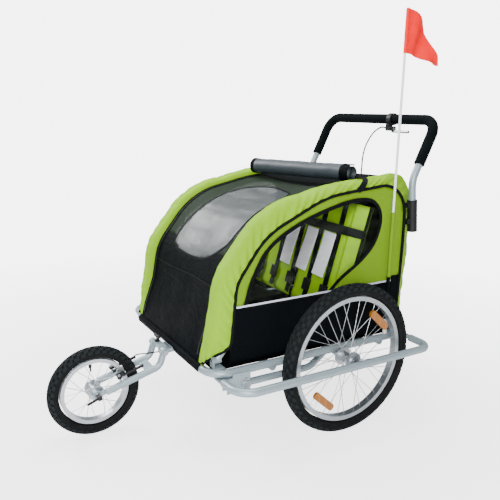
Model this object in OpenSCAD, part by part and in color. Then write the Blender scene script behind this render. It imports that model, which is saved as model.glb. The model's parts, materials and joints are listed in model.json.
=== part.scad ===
// Two-seat child bicycle trailer with a jogging front wheel.
// +Z is up, the nose points along -Y and +X is the trailer's left side.
// The origin is on the ground under the middle of the whole outline. The parts are drawn with Y counted from
// the rear axle, and centred() moves them back to the origin.

/* [Cabin] */
// Half width of the fabric cabin
cabin_x = 300; // [296:1:303]
// Front edge of the cabin at its floor
front_y = -468; // [-470:1:-464]
// Rearmost line of the cabin
rear_y = 360; // [352:1:364]
// Height of the roof at the rear
roof_z = 836; // [828:1:850]
// Thickness of the padded cover cloth
cloth = 2.4; // [2:0.1:2.5]

/* [Frame] */
// Diameter of the frame tubes
tube_d = 25; // [22:0.5:25]
// Height of the perimeter tube above the ground
rail_z = 266; // [264:0.5:268]
// Distance of each side rail from the centre
rail_x = 316; // [314:1:318]
// Distance of each side guard bar from the centre
guard_x = 430; // [428:1:440]
// Height of the guard bars
guard_z = 248; // [246:0.5:249]

/* [Rear wheels] */
// Diameter of a rear tyre
rear_d = 500; // [490:2:506]
// Width of a rear tyre
rear_tyre_w = 47; // [44:1:48]
// Distance between the rear tyre centre lines
track = 744; // [740:2:750]
// Number of spokes in a rear wheel
rear_spokes = 36; // [20:4:36]

/* [Front wheel] */
// Diameter of the front tyre
front_d = 295; // [285:1:300]
// Width of the front tyre
front_tyre_w = 44; // [40:1:46]
// Distance from the rear axle forward to the front axle
wheelbase = 720; // [715:1:740]
// Number of spokes in the front wheel
front_spokes = 20; // [16:4:28]

/* [Handlebar] */
// Height of the handlebar's grip
grip_z = 1000; // [980:5:1040]
// Distance of each handlebar leg from the centre
leg_x = 287; // [286:0.5:288]
// Diameter of the foam grip
foam_d = 36; // [32:1:38]

/* [Flag] */
// Height of the top of the flag pole
pole_top = 1335; // [1250:5:1400]

/* [Hidden] */
$fn = 40;

silver = [0.68, 0.71, 0.73];
black = [0.13, 0.14, 0.16];
lime = [0.72, 0.86, 0.30];

tube_r = tube_d / 2;
bore_r = tube_r - 1.5;
rear_x = track / 2;
rear_r = rear_d / 2;
front_r = front_d / 2;
clamp_r = 22;                        // brake lever clamp, the rearmost point of the trailer
fit = 0.05;                          // radial running clearance of a shaft in its bore

front_tube_y = -462;                 // centre lines of the perimeter tube's front and rear runs
rear_tube_y = 322;
corner_r = 60;
cross_r = 11;                        // cross tubes under the floor
cross_z = rear_r;
spine_r = 10;                        // tube along the middle of the floor
weld_gap = 0.4;                      // a weld ring's reach over the end of a bend, and its height
weld_l = 1.4;
weld_r = 0.15;

hinge_x = 283;                       // the side hoops fold about lines along Y at this distance
left_hinge_z = 300;
right_hinge_z = 345;                 // higher, so that the right hoop folds down on top of the left one
foot_y = -430;                       // front and rear feet of a hoop
heel_y = 240;
hoop_r = 11;
foot_r = 11.35;                      // boss round a hoop's hinge pin

axle_r = 6;
hub_in = 333.5;                      // inner and outer ends of a rear hub
hub_out = 408;
front_axle_r = 5;

arm_x = 45;                          // front arm
arm_r = 11;
hinge_y = -500;
hinge_z = 252;
arm_bend = [-516, 203];
boss_x = 42;                         // pivot bosses of the brake arms
pad_x = 14.5;                        // inner face of a brake pad, clear of the rim's side

tow_x = 316;                         // tow bar stowed under the left rail
tow_y = -404;
tow_z = 222;
tow_r = 11;

pole_y = 208;
spread_y = 228;                      // elbow bar between the hoops
spread_z = 735;

leg_foot = [332, 627];               // handlebar leg, seen from the side
leg_bend = [314, 800];
leg_top = [411, grip_z];

// ---------- points and lines ----------

function unit(v) = v / norm(v);
function turn(p, q, s) = acos(max(-1, min(1, unit(q - p) * unit(s - q))));
// Length that a rounded corner takes from each side of it
function cut(p, q, s, r) = r * tan(turn(p, q, s) / 2);

// Points of the arc that rounds the corner q between p and s
function corner(p, q, s, r) =
    let (a = unit(q - p), b = unit(s - q), t = cut(p, q, s, r), w = turn(p, q, s),
        n = r < 1 || w < 1 ? 1 : ceil(w / 6) + 1,
        side = n == 1 ? a : unit(b - a * (a * b)))
    n == 1 ? [q] : [for (k = [0:n - 1]) let (u = w * k / (n - 1))
        q - a * t + side * r + (a * sin(u) - side * cos(u)) * r];

// A closed outline whose corners are rounded with the radii given
function rounded(pts, radii) = let (n = len(pts))
    [for (i = [0:n - 1]) each corner(pts[(i + n - 1) % n], pts[i], pts[(i + 1) % n], radii[i])];

function normal2(p, q) = let (d = unit(q - p)) [-d[1], d[0]];
// The same outline moved inwards by t; its points run clockwise
function inset(pts, t) = let (n = len(pts)) [for (i = [0:n - 1])
    let (a = normal2(pts[i], pts[(i + n - 1) % n]), b = normal2(pts[(i + 1) % n], pts[i]))
    pts[i] + (a + b) * t / (1 + a * b)];

// Side view of the cabin's outer skin, from the floor's front edge over the roof to the rear
skin_pts = [[front_y, 281], [front_y + 66, 540], [front_y + 206, 722], [-20, roof_z - 38],
    [rear_y + 1, roof_z + 6], [rear_y, 560], [rear_y - 18, 281]];
skin_radii = [0, 50, 200, 500, 110, 300, 0];
// Side view of the piping line where the side panel meets the cover
panel_pts = [[-470, 286], [-392, 345], [-376, 530], [-280, 665], [-60, 768], [276, 804], [281, 600], [268, 286]];
panel_radii = [0, 30, 60, 160, 350, 85, 300, 0];
// The cabin from above: the rear corners run inside the handlebar's legs
wall_x = cabin_x - 3.2;
plan_pts = [[-wall_x, -490], [-wall_x, 262], [-245, rear_y + 2], [245, rear_y + 2], [wall_x, 262], [wall_x, -490]];

// ---------- shapes shared by several parts ----------

module place(o, x, y, z) {
    multmatrix([[x[0], y[0], z[0], o[0]], [x[1], y[1], z[1], o[1]], [x[2], y[2], z[2], o[2]]]) children();
}

module ring(r, bore) {
    difference() {
        circle(r);
        if (bore > 0) circle(bore);
    }
}

// A straight bar or pipe from p to q
module rod(p, q, r, bore = 0) {
    d = unit(q - p);
    s = unit(cross(d, abs(d[2]) < 0.9 ? [0, 0, 1] : [1, 0, 0]));
    place(p, s, cross(d, s), d) linear_extrude(norm(q - p)) ring(r, bore);
}

// The bend of a pipe that turns at q on its way from p to s
module bend(p, q, s, bend_r, r, bore = 0) {
    a = unit(q - p);
    b = unit(s - q);
    n = unit(b - a * (a * b));
    place(q - a * cut(p, q, s, bend_r) + n * bend_r, -n, a, cross(-n, a))
        rotate_extrude(angle = turn(p, q, s)) translate([bend_r, 0]) ring(r, bore);
}

// A pipe along a line of points, bent at each inner point. A thin weld ring bridges each end of a bend.
module pipe(pts, radii, r, bore = 0) {
    last = len(pts) - 1;
    cuts = [for (i = [0:last]) i == 0 || i == last ? 0 : cut(pts[i - 1], pts[i], pts[i + 1], radii[i])];
    for (i = [0:last - 1]) {
        d = unit(pts[i + 1] - pts[i]);
        start = pts[i] + d * (cuts[i] + (i > 0 ? weld_gap : 0));
        end = pts[i + 1] - d * (cuts[i + 1] + (i < last - 1 ? weld_gap : 0));
        rod(start, end, r, bore);
        if (i > 0) rod(start - d * weld_l, start + d * weld_l, r + weld_r, max(0, bore - weld_r));
        if (i < last - 1) rod(end - d * weld_l, end + d * weld_l, r + weld_r, max(0, bore - weld_r));
    }
    for (i = [1:1:last - 1]) bend(pts[i - 1], pts[i], pts[i + 1], radii[i], r, bore);
}

// A cylinder along X between x0 and x1
module x_rod(x0, x1, y, z, r, bore = 0) rod([min(x0, x1), y, z], [max(x0, x1), y, z], r, bore);

// A side view outline, extruded from x0 to x1
module side_plate(x0, x1) multmatrix([[0, 0, 1, min(x0, x1)], [1, 0, 0, 0], [0, 1, 0, 0]])
    linear_extrude(abs(x1 - x0)) children();

module block(lo, hi) translate(lo) cube(hi - lo);

// Moves a part from the rear axle's frame to the origin below the middle of the outline
module centred() translate([0, (wheelbase + front_r - leg_top[0] - clamp_r) / 2, 0]) children();

module mirror_left() {
    children();
    mirror([1, 0, 0]) children();
}

// ---------- wheels, built round the X axis ----------

module wheel_at(x, y, z) translate([x, y, z]) rotate([0, 90, 0]) children();

module tyre(d, w, rim_r) {
    mid = d / 2 - w / 2;
    color(black) rotate_extrude($fn = 96) difference() {
        translate([mid, 0]) circle(w / 2);
        translate([mid, 0]) circle(w / 2 - 3.5);
        translate([rim_r - 20, -8]) square([28, 16]);
        for (s = [-1, 1]) translate([rim_r - 20, s * 25.4 - 15]) square([20.2, 30]);
    }
}

module rim(outer, depth) {
    color(silver) rotate_extrude($fn = 96) difference() {
        translate([outer - depth, -12.5]) square([depth, 25]);
        translate([outer - depth + 5, -10.3]) square([depth, 20.6]);
    }
}

// Crossed spokes from two hub flanges to the rim bed
module spoke_set(count, flange_x, flange_r, bed_r, lead) {
    color(silver) for (i = [0:count - 1]) {
        a = 360 * i / count;
        side = i % 2 == 0 ? 1 : -1;
        way = floor(i / 2) % 2 == 0 ? 1 : -1;
        h = a + way * lead;
        rod([side * (flange_x + 2.2 * way), flange_r * cos(h), flange_r * sin(h)],
            [side * 3, (bed_r + 1.5) * cos(a), (bed_r + 1.5) * sin(a)], 1);
    }
}

// A hub shell from x0 to x1 with two spoke flanges and a bearing seat at each end
module hub(x0, x1, barrel_r, flange_x, flange_r, seat_r, seat_l, bore) {
    color(silver) difference() {
        union() {
            rod([x0, 0, 0], [x1, 0, 0], barrel_r);
            for (s = [-1, 1]) rod([s * flange_x - 3.6, 0, 0], [s * flange_x + 3.6, 0, 0], flange_r);
        }
        rod([x0 - 1, 0, 0], [x1 + 1, 0, 0], bore);
        rod([x0 - 1, 0, 0], [x0 + seat_l, 0, 0], seat_r);
        rod([x1 - seat_l, 0, 0], [x1 + 1, 0, 0], seat_r);
    }
}

module bearing_pair(x0, x1, seat_r, seat_l, bore) {
    color(silver) {
        rod([x0 + 0.5, 0, 0], [x0 + seat_l, 0, 0], seat_r, bore);
        rod([x1 - seat_l, 0, 0], [x1 - 0.5, 0, 0], seat_r, bore);
    }
}

rear_rim_r = rear_r - rear_tyre_w + 6;
rear_bed_r = rear_rim_r - 14;
front_rim_r = front_r - front_tyre_w + 5;
front_bed_r = front_rim_r - 12;

// Places a rear wheel part; it is drawn for the left side
module rear_side(s) {
    if (s > 0) translate([rear_x, 0, rear_r]) children();
    else translate([-rear_x, 0, rear_r]) mirror([1, 0, 0]) children();
}

module rear_tyre(s) wheel_at(s * rear_x, 0, rear_r) tyre(rear_d, rear_tyre_w, rear_rim_r);
module rear_rim(s) wheel_at(s * rear_x, 0, rear_r) rim(rear_rim_r, 14);
module rear_spoke_set(s) rear_side(s) spoke_set(rear_spokes, 26, 25, rear_bed_r, 60);
module rear_hub(s) rear_side(s) hub(hub_in - rear_x, hub_out - rear_x, 17, 26, 29, 14, 8.5, 8);
module rear_bearings(s) rear_side(s) bearing_pair(hub_in - rear_x, hub_out - rear_x, 14, 8.5, axle_r + fit);

// Two amber reflectors clipped between the spokes, one opposite the other
module rear_reflectors(s) {
    color("orange") rear_side(s) for (a = [48, 228]) rotate([a, 0, 0]) translate([18.5, 158, 0])
        rotate([0, 90, 0]) linear_extrude(9, center = true)
        polygon(rounded([[-48, -12], [-48, 12], [48, 12], [48, -12]], [11, 11, 11, 11]));
}

module stub_axle(s) color(silver) difference() {
    union() {
        x_rod(s * 262, s * (hub_out + 0.5), 0, rear_r, axle_r);
        x_rod(s * (hub_out + 0.5), s * (hub_out + 4), 0, rear_r, 12);
    }
    x_rod(s * 386, s * 420, 0, rear_r, 3 + fit);
}

// Push button in the end of an axle, which frees the wheel
module axle_button(s) color(black) x_rod(s * 392, s * (hub_out + 7), 0, rear_r, 3);

module front_tyre() wheel_at(0, -wheelbase, front_r) tyre(front_d, front_tyre_w, front_rim_r);
module front_rim() wheel_at(0, -wheelbase, front_r) rim(front_rim_r, 12);
module front_spoke_set() translate([0, -wheelbase, front_r]) spoke_set(front_spokes, 22, 21, front_bed_r, 54);
module front_hub() translate([0, -wheelbase, front_r]) hub(-36, 36, 14, 22, 25, 11, 7.5, 7);
module front_bearings() translate([0, -wheelbase, front_r]) bearing_pair(-36, 36, 11, 7.5, front_axle_r + fit);

// ---------- front arm ----------

arm_dir = unit(arm_bend - [-wheelbase, front_r]);         // along the arm's lower run, rearwards and up
arm_nrm = [-arm_dir[1], arm_dir[0]];                       // square to it, upwards

// A point of the arm: along its run from the axle, above it, and across
function arm_pt(x, u, n) = [x, -wheelbase + arm_dir[0] * u + arm_nrm[0] * n, front_r + arm_dir[1] * u + arm_nrm[1] * n];

// Moves a shape drawn with Y along the arm and Z square to it
module on_arm() place([0, -wheelbase, front_r], [1, 0, 0], [0, arm_dir[0], arm_dir[1]], [0, arm_nrm[0], arm_nrm[1]])
    children();

module front_arm() color(silver) difference() {
    union() {
        mirror_left() {
            pipe([arm_pt(arm_x, 26, 0), [arm_x, arm_bend[0], arm_bend[1]], [arm_x, hinge_y, hinge_z]], [0, 34, 0], arm_r);
            x_rod(32.5, 57.5, hinge_y, hinge_z, arm_r + 1.5);
            x_rod(37, 43, -wheelbase, front_r, 15);
            on_arm() {
                block([37.5, 0, -8], [42.5, 36, 8]);
                rod([boss_x, 80, 2], [boss_x, 80, 34], 4);
            }
        }
        on_arm() block([-arm_x, 166, -2], [arm_x, 196, 2]);
    }
    x_rod(-60, 60, hinge_y, hinge_z, 5 + fit);
    x_rod(-60, 60, -wheelbase, front_r, front_axle_r + 0.2);
}

// Hollow front axle with its end nuts
module front_axle() color(silver) {
    x_rod(-52, 52, -wheelbase, front_r, front_axle_r);
    x_rod(-50, -43.2, -wheelbase, front_r, 14);
    x_rod(43.2, 50, -wheelbase, front_r, 11);
}

// Quick-release cam with its lever, turning about a pin square to the arm
module front_qr_lever() color(black) on_arm() {
    rod([60, 0, -7], [60, 0, 7], 7.4);
    hull() {
        translate([61, 0, 0]) sphere(4, $fn = 24);
        translate([66, -38, 0]) scale([1, 1.4, 1]) sphere(4, $fn = 24);
    }
}

// Brake arm on its boss, with the pad that meets the rim's side
module brake_arm(s) color(black) on_arm() mirror([s > 0 ? 0 : 1, 0, 0]) {
    difference() {
        union() {
            rod([boss_x, 80, 22], [boss_x, 80, 29], 8);
            block([34, 80, 22], [41, 164, 29]);
        }
        rod([boss_x, 80, 20], [boss_x, 80, 31], 4 + fit);
    }
    block([pad_x, 76, 18], [pad_x + 9, 103, 26]);
    rod([pad_x + 8, 92, 23], [36, 92, 25.5], 3);
}

// ---------- hinge of the front arm ----------

module arm_bracket() color(silver) difference() {
    union() {
        for (s = [-1, 1]) side_plate(s * 27.5, s * 31) polygon(rounded(
            [[hinge_y - 13, hinge_z - 11], [hinge_y - 13, hinge_z + 15], [hinge_y + 13, hinge_z + 15],
             [-484, 242], [-456, 242], [-456, 238], [-488, 238]], [9, 4, 4, 0, 0, 0, 10]));
        block([-31, -488, 238], [31, -452, 252]);
        block([-31, hinge_y - 13, hinge_z + 11.5], [31, hinge_y + 13, hinge_z + 15]);
    }
    block([-27.5, -520, 236], [27.5, -488.1, hinge_z + 11.4]);
    x_rod(-400, 400, front_tube_y, rail_z, tube_r + fit);
    rod([0, front_tube_y - 12, cross_z], [0, front_tube_y + 20, cross_z], spine_r + 0.2);
    x_rod(-70, 70, hinge_y, hinge_z, 5.1);
    rod([-12, hinge_y, 261], [-12, hinge_y, 275], 4 + fit);
}

module arm_pin() color(silver) {
    x_rod(-60, 60, hinge_y, hinge_z, 5);
    x_rod(-63, -59, hinge_y, hinge_z, 8);
    x_rod(59, 63, hinge_y, hinge_z, 8);
}

// Spring pin with a T-shaped knob that locks the arm down
module arm_lock_knob() color(black) {
    rod([-12, hinge_y, 258.2], [-12, hinge_y, 284], 4);
    rod([-12, hinge_y, 267.5], [-12, hinge_y, 272], 8);
    hull() {
        translate([-26, hinge_y, 286]) sphere(6, $fn = 24);
        translate([2, hinge_y, 286]) sphere(6, $fn = 24);
    }
}

// ---------- base frame ----------

module base_frame() color(silver) difference() {
    union() {
        mirror_left() pipe([[0, front_tube_y, rail_z], [rail_x, front_tube_y, rail_z],
            [rail_x, rear_tube_y, rail_z], [0, rear_tube_y, rail_z]], [0, corner_r, corner_r, 0], tube_r);
        x_rod(-331, 331, 0, cross_z, cross_r);
        for (y = [-250, 190]) x_rod(-rail_x, rail_x, y, cross_z, cross_r);
        rod([0, front_tube_y, cross_z], [0, rear_tube_y, cross_z], spine_r);
    }
    for (s = [-1, 1]) x_rod(s * 258, s * 340, 0, rear_r, axle_r + 0.1);
}

// The guard bar round one wheel; its flattened ends lie under the rail
module guard_bar(s) color(silver) difference() {
    union() {
        pipe([[s * 338, -432, guard_z], [s * guard_x, -432, guard_z], [s * guard_x, 314, guard_z], [s * 338, 314, guard_z]],
            [0, 60, 45, 0], tube_r, bore_r);
        for (y = [-432, 314]) x_rod(s * 336, s * 340, y, guard_z, tube_r);
        block([min(s * 294, s * 339), -444, 247], [max(s * 294, s * 339), -420, 253]);
        block([min(s * 272, s * 339), 302, 247], [max(s * 272, s * 339), 326, 253]);
    }
    for (p = [[310, -432], [286, 314]]) rod([s * p[0], p[1], 240], [s * p[0], p[1], 256], 4.1);
}

module guard_bar_bolts() color(silver) mirror_left() for (p = [[310, -432], [286, 314]]) {
    rod([p[0], p[1], 243], [p[0], p[1], 253.4], 4);
    rod([p[0], p[1], 241], [p[0], p[1], 246.9], 7);
}

// Shallow cloth tray that forms the floor, with its corners cut off inside the bends of the perimeter tube
pan_x = 299.5;
pan_front = front_tube_y + 14;
pan_rear = rear_tube_y - 14;
pan_corner = 54;
module floor_pan() color(black) difference() {
    block([-pan_x, pan_front, 261.5], [pan_x, pan_rear, 277]);
    block([-pan_x + 5, pan_front + 5, 265.5], [pan_x - 5, pan_rear - 5, 290]);
    for (s = [-1, 1], y = [pan_front, pan_rear])
        translate([s * pan_x, y, 0]) rotate([0, 0, 45]) cube([pan_corner, pan_corner, 700], center = true);
}

// Plates on the rails that hold the feet of the side hoops
module hoop_bracket(y, ear_y, top, far_x) difference() {
    union() {
        block([272, y - 16, 278.7], [far_x, y + 16, 281.7]);
        block([272, ear_y - 2, 278.7], [294, ear_y + 2, top]);
        rod([hinge_x, ear_y - 2, top], [hinge_x, ear_y + 2, top], 11);
    }
    rod([hinge_x, ear_y - 3, top], [hinge_x, ear_y + 3, top], 4.1);
}

module hoop_brackets() color(silver) {
    hoop_bracket(foot_y, foot_y - 14, left_hinge_z, 308);
    hoop_bracket(heel_y, heel_y + 14, left_hinge_z, 325);
    mirror([1, 0, 0]) hoop_bracket(foot_y, foot_y - 14, right_hinge_z, 308);
    mirror([1, 0, 0]) hoop_bracket(heel_y, heel_y + 14, right_hinge_z, 325);
}

module hoop_pins() color(silver) for (h = [[1, left_hinge_z], [-1, right_hinge_z]]) {
    rod([h[0] * hinge_x, foot_y - 17, h[1]], [h[0] * hinge_x, foot_y + 12, h[1]], 4);
    rod([h[0] * hinge_x, heel_y - 12, h[1]], [h[0] * hinge_x, heel_y + 17, h[1]], 4);
}

// ---------- axles ----------

module left_axle() stub_axle(1);
module right_axle() stub_axle(-1);
module left_axle_button() axle_button(1);
module right_axle_button() axle_button(-1);

// ---------- tow bar ----------

tow_path = [[tow_x, tow_y, tow_z], [tow_x, -110, tow_z], [228, 26, tow_z], [228, 92, tow_z]];

// Channel under the left rail that carries the tow bar; its cheeks clasp the lower half of the rail
module tow_receiver() color(silver) difference() {
    block([tow_x - 15.5, -419, 205], [tow_x + 15.5, -340, 266]);
    block([tow_x - 12.8, -430, 200], [tow_x + 12.8, -330, 250.4]);
    block([tow_x - 12.8, -430, 253.2], [tow_x + 12.8, -330, 270]);
    block([tow_x - 20, -430, 253.2], [tow_x + 20, -401, 290]);
    rod([tow_x - 20, tow_y, tow_z], [tow_x + 20, tow_y, tow_z], 4.1);
    rod([tow_x - 20, -356, 240], [tow_x + 20, -356, 240], 4.1);
}

module tow_bolt() color(silver) {
    x_rod(tow_x - 19, tow_x + 16, tow_y, tow_z, 4);
    x_rod(tow_x + 15.6, tow_x + 20, tow_y, tow_z, 7);
    x_rod(tow_x - 20, tow_x - 15.6, tow_y, tow_z, 7);
}

// Lock pin with its pull ring, passed over the stowed bar
module tow_lock_pin() color(silver) {
    x_rod(tow_x - 22, tow_x + 19, -356, 240, 3.6);
    x_rod(tow_x + 15.6, tow_x + 21, -356, 240, 6);
    translate([tow_x + 22.6, -356, 226]) rotate([0, 90, 0]) rotate_extrude() translate([13, 0]) circle(1.6);
}

module tow_bar() color(silver) difference() {
    union() {
        pipe(tow_path, [0, 70, 60, 0], tow_r);
        x_rod(tow_x - 12, tow_x + 12, tow_y, tow_z, tow_r + 1.5);
    }
    x_rod(tow_x - 20, tow_x + 20, tow_y, tow_z, 4 + fit);
}

// Flexible coupler and the hitch plate that goes on a bicycle's rear axle
hitch_y = 182;
module tow_coupler() {
    color(black) rod([228, 92, tow_z], [228, 148, tow_z], 14);
    color(silver) difference() {
        side_plate(225, 231) polygon(rounded([[140, 210], [140, 234], [198, 237], [198, 207]], [2, 2, 14, 14]));
        x_rod(215, 240, hitch_y, tow_z, 5.2);
    }
}

// ---------- side hoops ----------

function hoop_pts(x, h) = [[x, foot_y, h], [x, -379, h + 62], [x, -363, 528], [x, -190, 737], [x, 264, 800],
    [x, heel_y, h]];

module hoop(s, h) {
    x = s * hinge_x;
    color(silver) difference() {
        union() {
            pipe(hoop_pts(x, h), [0, 34, 80, 270, 78, 0], hoop_r);
            for (y = [foot_y, heel_y]) rod([x, y - 11.5, h], [x, y + 11.5, h], foot_r);
            for (z = [spread_z - 13, spread_z + 9]) block([x - 8, spread_y - 9, z], [x + 8, 264, z + 4]);
        }
        for (y = [foot_y, heel_y]) rod([x, y - 12, h], [x, y + 12, h], 4 + fit);
    }
    color(silver) rod([x, spread_y, spread_z - 9], [x, spread_y, spread_z + 9], 4);
}

// Half of the elbow bar that holds the two hoops apart
module spreader(s) color(silver) difference() {
    union() {
        x_rod(s * 1.5, s * hinge_x, spread_y, spread_z, 7);
        rod([s * hinge_x, spread_y, spread_z - 8.5], [s * hinge_x, spread_y, spread_z + 8.5], 8);
    }
    rod([s * hinge_x, spread_y, spread_z - 12], [s * hinge_x, spread_y, spread_z + 12], 4 + fit);
}

module left_hoop() hoop(1, left_hinge_z);
module right_hoop() hoop(-1, right_hinge_z);
module left_spreader() spreader(1);
module right_spreader() spreader(-1);

// ---------- cloth ----------

// Cloth wall inside the hoop line, with its window, down to the height given
module side_panel(s, bottom) color(lime) intersection() {
    side_plate(s * (cabin_x - 3), s * (cabin_x + 2)) polygon(rounded(panel_pts, panel_radii));
    block([-400, -500, bottom], [400, 500, 900]);
}

// The space inside the cover cloth, moved in by t
module cabin_body(t) intersection() {
    side_plate(-cabin_x - 10, cabin_x + 10) polygon(rounded(inset(skin_pts, t),
        [for (r = skin_radii) max(0, r - t)]));
    linear_extrude(1000) polygon(inset(plan_pts, t));
}

// Half of the front, roof and rear cover, from the centre line out to the side panel
hem_z = 283.5;                       // lower hem of the cover, just above its inner floor line
module cover(s) color(lime) intersection() {
    difference() {
        cabin_body(0);
        cabin_body(cloth);
        side_plate(s * 270, s * 310) polygon(rounded(panel_pts, panel_radii));
    }
    block([s > 0 ? 0.3 : -310, -600, hem_z], [s > 0 ? 310 : -0.3, 600, 900]);
}

// Rain cover, rolled up and tied across the roof
module rolled_cover() color(black) rod([-230, 5, 832.5], [228, 98, 843.5], 30);

// Sling seat: a base and a back that leans against the rear compartment
seat_crease = 4;                     // where the base meets the back
module seat() color(lime) translate([0, seat_crease, 0]) side_plate(-250, 250) polygon(rounded(
    [[-204, 330], [-204, 352], [0, 352], [114, 740], [154, 740], [34, 330]], [10, 10, 0, 16, 16, 20]));

// Shoulder straps of the two seats
module harness() color(black) translate([0, seat_crease, 0]) for (x = [-200, -105, 105, 200])
    side_plate(x - 14, x + 14)
    polygon([[-7, 354], [-7, 358], [-5, 358], [107, 739], [110, 738], [-1.5, 356], [-1.5, 354]]);

// ---------- handlebar ----------

function handle_pts() = [[leg_x, leg_foot[0], leg_foot[1]], [leg_x, leg_bend[0], leg_bend[1]],
    [leg_x, leg_top[0], leg_top[1]], [-leg_x, leg_top[0], leg_top[1]],
    [-leg_x, leg_bend[0], leg_bend[1]], [-leg_x, leg_foot[0], leg_foot[1]]];

module handlebar() color(silver) pipe(handle_pts(), [0, 90, 55, 55, 90, 0], tube_r, bore_r);

foam_low = leg_bend + unit(leg_top - leg_bend) * 58;
module handle_foam() color(black) pipe([[leg_x, foam_low[0], foam_low[1]], [leg_x, leg_top[0], leg_top[1]],
    [-leg_x, leg_top[0], leg_top[1]], [-leg_x, foam_low[0], foam_low[1]]], [0, 55, 55, 0], foam_d / 2, tube_r + 0.4);

// Sleeves behind the hoops that the handlebar's legs slide in
leg_dir = unit(leg_bend - leg_foot);
module handle_sleeves() color(black) mirror_left() difference() {
    union() {
        rod([leg_x, leg_foot[0] - leg_dir[0] * 4, leg_foot[1] - leg_dir[1] * 4],
            [leg_x, leg_foot[0] + leg_dir[0] * 106, leg_foot[1] + leg_dir[1] * 106], 17);
        for (z = [650, 706]) block([leg_x - 8, 298, z], [leg_x + 8, 318, z + 18]);
    }
    rod([leg_x, leg_foot[0] - leg_dir[0] * 30, leg_foot[1] - leg_dir[1] * 30],
        [leg_x, leg_foot[0] + leg_dir[0] * 140, leg_foot[1] + leg_dir[1] * 140], tube_r + fit);
}

lever_pivot = [86, 396, 966];
module brake_lever_clamp() color(black) difference() {
    union() {
        x_rod(60, 80, leg_top[0], leg_top[1], clamp_r);
        block([62, 388, 958], [78, 408, 985]);
        block([70, 386, 958], [98, 391, 974]);
        block([70, 401, 958], [98, 406, 974]);
    }
    x_rod(50, 110, leg_top[0], leg_top[1], foam_d / 2 + 0.05);
    rod([lever_pivot[0] + 4, 380, 966], [lever_pivot[0] + 4, 412, 966], 3.1);
}

module brake_lever() color(silver) difference() {
    union() {
        rod([lever_pivot[0] + 4, 391.3, 966], [lever_pivot[0] + 4, 400.7, 966], 7);
        block([90, 392, 952], [172, 400, 961]);
        x_rod(90, 172, 396, 956.5, 4.8);
    }
    rod([lever_pivot[0] + 4, 380, 966], [lever_pivot[0] + 4, 412, 966], 3 + fit);
}

// Brake cable along the underside of the frame
module brake_cable() color(black) pipe([[-24, 338, 250], [-24, 334, 234], [-24, -430, 232], [-24, -452, 228]],
    [0, 4, 20, 0], 2.5);

// ---------- flag ----------

module flag_pole() color("white") {
    rod([rail_x, pole_y, 278.6], [rail_x, pole_y, pole_top], 4);
    rod([rail_x, pole_y, 278.6], [rail_x, pole_y, 330], 7, 4);
}

module flag() color("red") side_plate(rail_x - 1, rail_x + 1) polygon([[pole_y + 4.1, pole_top],
    [pole_y + 40, pole_top - 14], [pole_y + 84, pole_top - 66], [pole_y + 152, pole_top - 162],
    [pole_y + 80, pole_top - 148], [pole_y + 4.1, pole_top - 132]]);

// ---------- names ----------

module left_guard_bar() guard_bar(1);
module right_guard_bar() guard_bar(-1);
module left_brake_arm() brake_arm(1);
module right_brake_arm() brake_arm(-1);
module left_tyre() rear_tyre(1);
module right_tyre() rear_tyre(-1);
module left_rim() rear_rim(1);
module right_rim() rear_rim(-1);
module left_spoke_set() rear_spoke_set(1);
module right_spoke_set() rear_spoke_set(-1);
module left_hub() rear_hub(1);
module right_hub() rear_hub(-1);
module left_bearings() rear_bearings(1);
module right_bearings() rear_bearings(-1);
module left_reflectors() rear_reflectors(1);
module right_reflectors() rear_reflectors(-1);
module left_side_panel() side_panel(1, 284);
module right_side_panel() side_panel(-1, 302);
module left_cover() cover(1);
module right_cover() cover(-1);

centred() base_frame();
centred() left_guard_bar();
centred() right_guard_bar();
centred() guard_bar_bolts();
centred() floor_pan();
centred() left_axle();
centred() right_axle();
centred() left_axle_button();
centred() right_axle_button();
centred() hoop_brackets();
centred() hoop_pins();
centred() tow_receiver();
centred() tow_bolt();
centred() tow_lock_pin();
centred() tow_bar();
centred() tow_coupler();
centred() arm_bracket();
centred() arm_pin();
centred() arm_lock_knob();
centred() front_arm();
centred() front_axle();
centred() front_qr_lever();
centred() left_brake_arm();
centred() right_brake_arm();
centred() front_tyre();
centred() front_rim();
centred() front_spoke_set();
centred() front_hub();
centred() front_bearings();
centred() left_tyre();
centred() left_rim();
centred() left_spoke_set();
centred() left_hub();
centred() left_bearings();
centred() left_reflectors();
centred() right_tyre();
centred() right_rim();
centred() right_spoke_set();
centred() right_hub();
centred() right_bearings();
centred() right_reflectors();
centred() left_hoop();
centred() right_hoop();
centred() left_spreader();
centred() right_spreader();
centred() left_side_panel();
centred() right_side_panel();
centred() left_cover();
centred() right_cover();
centred() rolled_cover();
centred() seat();
centred() harness();
centred() handlebar();
centred() handle_foam();
centred() handle_sleeves();
centred() brake_lever_clamp();
centred() brake_lever();
centred() brake_cable();
centred() flag_pole();
centred() flag();
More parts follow.
